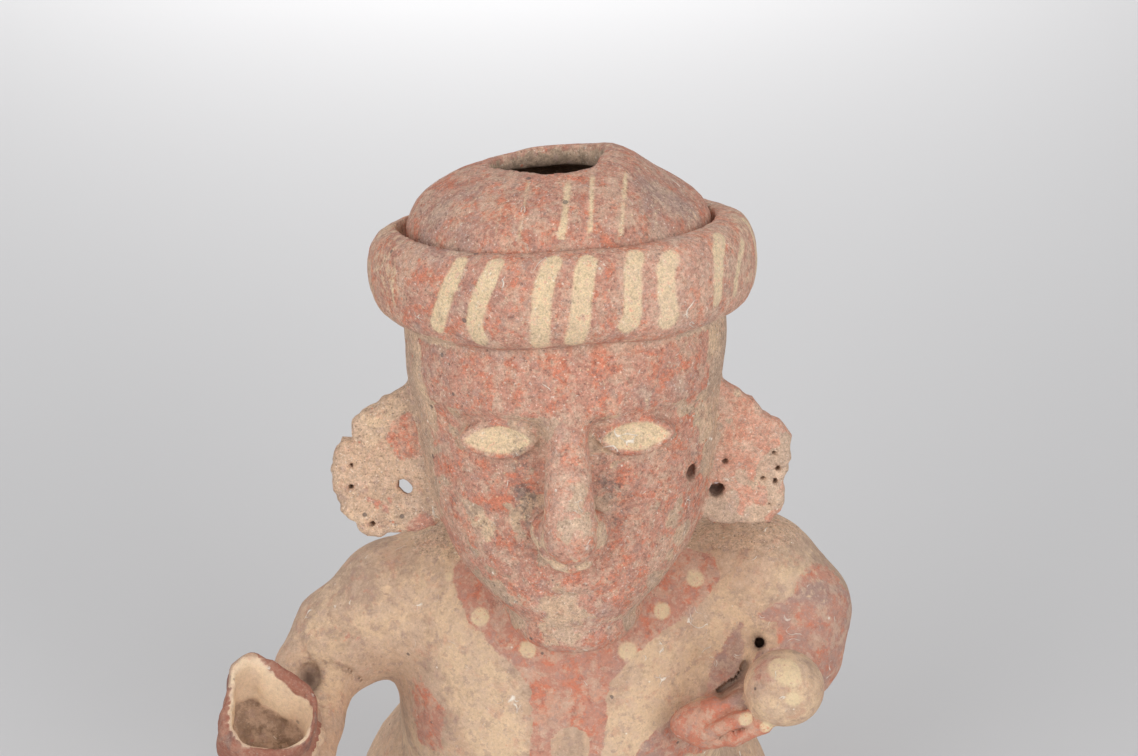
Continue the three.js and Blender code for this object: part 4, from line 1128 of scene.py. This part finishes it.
# painted shade: darker buff in the hollows; and pale dust as a fine haze
c = g.mix(g.step(A["cav"], 0.15, 0.8, 0.0, 0.35), c, CLAY["buff_dark"])
strong = A["calm"]
haze = g.step(g.noise(mw, 1.5, 5, 0.75, 14.0), 0.48, 0.66, 0.0, 0.50)
c = g.mix(g.math("MULTIPLY", haze, g.math("MULTIPLY", strong, 0.8)), c, CLAY["dust"])
broad_dust = g.step(g.noise(mw, 7.0, 6, 0.72, 16.0), 0.49, 0.58, 0.0, 0.50)
plain = g.math("SUBTRACT", 1.0, g.math("MAXIMUM", g.math("MULTIPLY", in_cream, 0.6), g.math("MULTIPLY", A["brown"], 0.7, clamp=True)))
c = g.mix(g.math("MULTIPLY", broad_dust, plain), c, CLAY["dust"])
cloud = g.noise(mw, 3.2, 5, 0.68, 17.0)
c = g.mix(g.math("MULTIPLY", g.step(cloud, 0.54, 0.61, 0.0, 0.45), plain), c, CLAY["dust"])
c = g.mix(g.math("MULTIPLY", g.step(cloud, 0.45, 0.38, 0.0, 0.45), plain), c, CLAY["mauve"])
pepper = g.step(g.noise(mm, 0.95, 3, 0.65, 30.0), 0.57, 0.69, 0.0, 0.58)
c = g.mix(g.math("MULTIPLY", pepper, g.math("MULTIPLY", strong, plain)), c, CLAY["pepper"])
salt = g.step(g.noise(mm, 0.8, 3, 0.65, 31.0), 0.60, 0.70, 0.0, 0.55)
c = g.mix(g.math("MULTIPLY", salt, strong), c, CLAY["white"])


def spots(size, offset, share, radius):
    v = g.node("ShaderNodeTexVoronoi", voronoi_dimensions="4D", feature="F1")
    g.put(v.inputs["Vector"], mm)
    v.inputs["W"].default_value = offset
    v.inputs["Scale"].default_value = 1.0 / size
    sep = g.node("ShaderNodeSeparateColor")
    g.put(sep.inputs[0], v.outputs["Color"])
    chosen = g.math("LESS_THAN", sep.outputs[0], share)
    size_of = g.math("MULTIPLY", sep.outputs[1], radius)
    return g.math("MULTIPLY", chosen, g.step(g.math("SUBTRACT", size_of, v.outputs["Distance"]), 0.0, 0.04))


dark_dots = spots(3.6, 1.0, 0.22, 0.26)
c = g.mix(g.math("MULTIPLY", dark_dots, 0.75), c, CLAY["grey"])
fine_dark = spots(1.25, 9.0, 0.30, 0.36)
c = g.mix(g.math("MULTIPLY", fine_dark, g.math("MULTIPLY", g.math("MULTIPLY", strong, plain), 0.60)), c, CLAY["pepper"])
fine_light = spots(1.15, 13.0, 0.26, 0.36)
c = g.mix(g.math("MULTIPLY", fine_light, g.math("MULTIPLY", strong, 0.50)), c, CLAY["cream"])
red_dots = spots(1.9, 17.0, 0.20, 0.34)
c = g.mix(g.math("MULTIPLY", red_dots, g.math("MULTIPLY", g.math("MULTIPLY", strong, plain), 0.6)), c, CLAY["coral"])
white_dots = spots(2.4, 5.0, 0.16, 0.24)
c = g.mix(g.math("MULTIPLY", white_dots, 0.7), c, CLAY["white"])

# thin white marks left by roots
r1 = g.math("ABSOLUTE", g.math("SUBTRACT", g.noise(mw, 9, 1, 0.4, 20.0), 0.5))
r2 = g.math("ABSOLUTE", g.math("SUBTRACT", g.noise(mw, 6, 1, 0.4, 21.0), 0.5))
line = g.math("MAXIMUM", g.step(r1, 0.012, 0.003), g.step(r2, 0.010, 0.002))
gate = g.step(g.math("ADD", g.noise(mm, 7, 2, 0.5, 22.0), g.math("MULTIPLY", A["root"], 0.30)), 0.66, 0.72)
marks = g.math("MULTIPLY", g.math("MULTIPLY", line, gate), 0.85)
c = g.mix(marks, c, CLAY["white"])

# paler places, with painted light inside the cup
c = g.mix(g.math("MULTIPLY", A["pale"], 0.4), c, CLAY["pale"])
# painted shade in holes, the gap and where the cup meets the forearm
c = g.mix(A["shade"], c, CLAY["crevice_shade"])
tone = g.math("ADD", g.math("MULTIPLY", g.math("SUBTRACT", n_fine, 0.5), 1.0), g.math("MULTIPLY", g.math("SUBTRACT", n_grain, 0.5), 0.8))
tone = g.math("ADD", g.math("MULTIPLY", tone, strong), g.math("MULTIPLY", g.math("SUBTRACT", n_mott, 0.5), g.math("ADD", 0.2, g.math("MULTIPLY", strong, 0.6))))
tone = g.math("ADD", tone, 1.03)
hsv = g.node("ShaderNodeHueSaturation")
hsv.inputs["Saturation"].default_value = 1.0
g.put(hsv.inputs["Value"], tone)
g.put(hsv.inputs["Color"], c)

bsdf = g.node("ShaderNodeBsdfPrincipled")
g.put(bsdf.inputs["Base Color"], hsv.outputs[0])
g.put(bsdf.inputs["Roughness"], g.math("SUBTRACT", 0.93, g.math("MULTIPLY", in_red, 0.14)))
bsdf.inputs["Specular IOR Level"].default_value = 0.28
height = g.math("ADD", g.math("MULTIPLY", n_mott, 0.5), g.math("MULTIPLY", n_fine, 0.35))
height = g.math("ADD", height, g.math("MULTIPLY", n_grain, 0.14))
height = g.math("ADD", height, g.math("MULTIPLY", n_patch, 0.5))
height = g.math("SUBTRACT", height, g.math("MULTIPLY", dark_dots, 0.6))
height = g.math("ADD", height, g.math("MULTIPLY", in_cream, 0.12))
height = g.math("ADD", height, g.math("MULTIPLY", marks, 0.35))
bump = g.node("ShaderNodeBump")
bump.inputs["Strength"].default_value = 0.8
bump.inputs["Distance"].default_value = 0.0006
g.put(bump.inputs["Height"], height)
g.put(bsdf.inputs["Normal"], bump.outputs[0])
out = g.node("ShaderNodeOutputMaterial")
g.t.links.new(bsdf.outputs[0], out.inputs["Surface"])
me.materials.clear()
me.materials.append(g.mat)

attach(figure, "root")
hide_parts("pottery_figure")

# ------------------------------------------------------------------ studio: a pale sweep, soft lights, the camera

SWEEP = dict(near=-1.6, bend=1.5, far=2.3, high=1.6, half=3.0, radius=0.8)
rows = [(SWEEP["near"], 0.0), (SWEEP["bend"], 0.0)]
for i in range(1, 13):
    t = math.pi / 2 * i / 12
    rows.append((SWEEP["bend"] + SWEEP["radius"] * math.sin(t), SWEEP["radius"] * (1 - math.cos(t))))
rows.append((SWEEP["bend"] + SWEEP["radius"], SWEEP["high"]))
sv_, sf_ = [], []
for y, z in rows:
    sv_ += [(-SWEEP["half"], y, z), (SWEEP["half"], y, z)]
for i in range(len(rows) - 1):
    sf_.append((2 * i, 2 * i + 1, 2 * i + 3, 2 * i + 2))
sweep_me = bpy.data.meshes.new("paper_sweep")
sweep_me.from_pydata(sv_, [], sf_)
for p in sweep_me.polygons:
    p.use_smooth = True
sweep = bpy.data.objects.new("paper_sweep", sweep_me)
bpy.context.scene.collection.objects.link(sweep)
paper = Graph("pale_paper")
pc = paper.node("ShaderNodeTexCoord").outputs["Object"]
pb = paper.node("ShaderNodeBsdfPrincipled")
soft = paper.noise(pc, 0.8, 2, 0.4, 1.0)
paper.put(pb.inputs["Base Color"], paper.mix(soft, (0.638, 0.633, 0.636, 1), (0.656, 0.651, 0.654, 1)))
pb.inputs["Roughness"].default_value = 0.9
po = paper.node("ShaderNodeOutputMaterial")
paper.t.links.new(pb.outputs[0], po.inputs["Surface"])
sweep_me.materials.append(paper.mat)


def area(name, at, aim, size, energy, colour=(1, 1, 1)):
    data = bpy.data.lights.new(name, "AREA")
    data.shape = "RECTANGLE"
    data.size, data.size_y = size
    data.energy = energy
    data.color = colour
    ob = bpy.data.objects.new(name, data)
    ob.location = at
    ob.rotation_euler = (Vector(aim) - Vector(at)).to_track_quat("-Z", "Y").to_euler()
    bpy.context.scene.collection.objects.link(ob)
    return ob


area("right_soft", (1.1, -1.3, 1.25), (0.0, 0.0, 0.25), (1.1, 1.1), 15)
area("left_soft", (-1.2, -1.2, 1.15), (0.0, 0.0, 0.25), (1.1, 1.1), 12)
area("top_soft", (-0.12, 1.0, 1.9), (-0.08, 0.85, 0.0), (1.6, 1.0), 5.5)
area("paper_glow", (-0.05, 1.10, 0.42), (-0.05, 1.05, 0.0), (0.45, 0.28), 4.0)
area("front_soft", (-0.35, -0.9, 1.5), (-0.2, 0.0, 0.0), (1.6, 0.7), 2.4)

world = bpy.data.worlds.new("studio")
world.use_nodes = True
world.node_tree.nodes["Background"].inputs[0].default_value = (0.93, 0.94, 0.96, 1)
world.node_tree.nodes["Background"].inputs[1].default_value = 0.42
bpy.context.scene.world = world
bpy.context.scene.view_settings.view_transform = "Standard"

# The camera looks down at 38 degrees onto the front of the head.
ELEVATION = math.radians(38)
cam = bpy.data.cameras.new("camera")
cam.lens, cam.sensor_width, cam.sensor_fit = 50, 23.6, "HORIZONTAL"
cam.clip_start, cam.clip_end = 0.05, 20
camera = bpy.data.objects.new("camera", cam)
bpy.context.scene.collection.objects.link(camera)
fwd = (0, math.cos(ELEVATION), -math.sin(ELEVATION))
up = (0, math.sin(ELEVATION), math.cos(ELEVATION))
eye_at = (np.array([1.145, -577.494, 733.385]) + SHIFT) / 1000
camera.matrix_world = Matrix(((1, up[0], -fwd[0], eye_at[0]), (0, up[1], -fwd[1], eye_at[1]),
                              (0, up[2], -fwd[2], eye_at[2]), (0, 0, 0, 1)))
bpy.context.scene.camera = camera

bpy.context.view_layer.update()
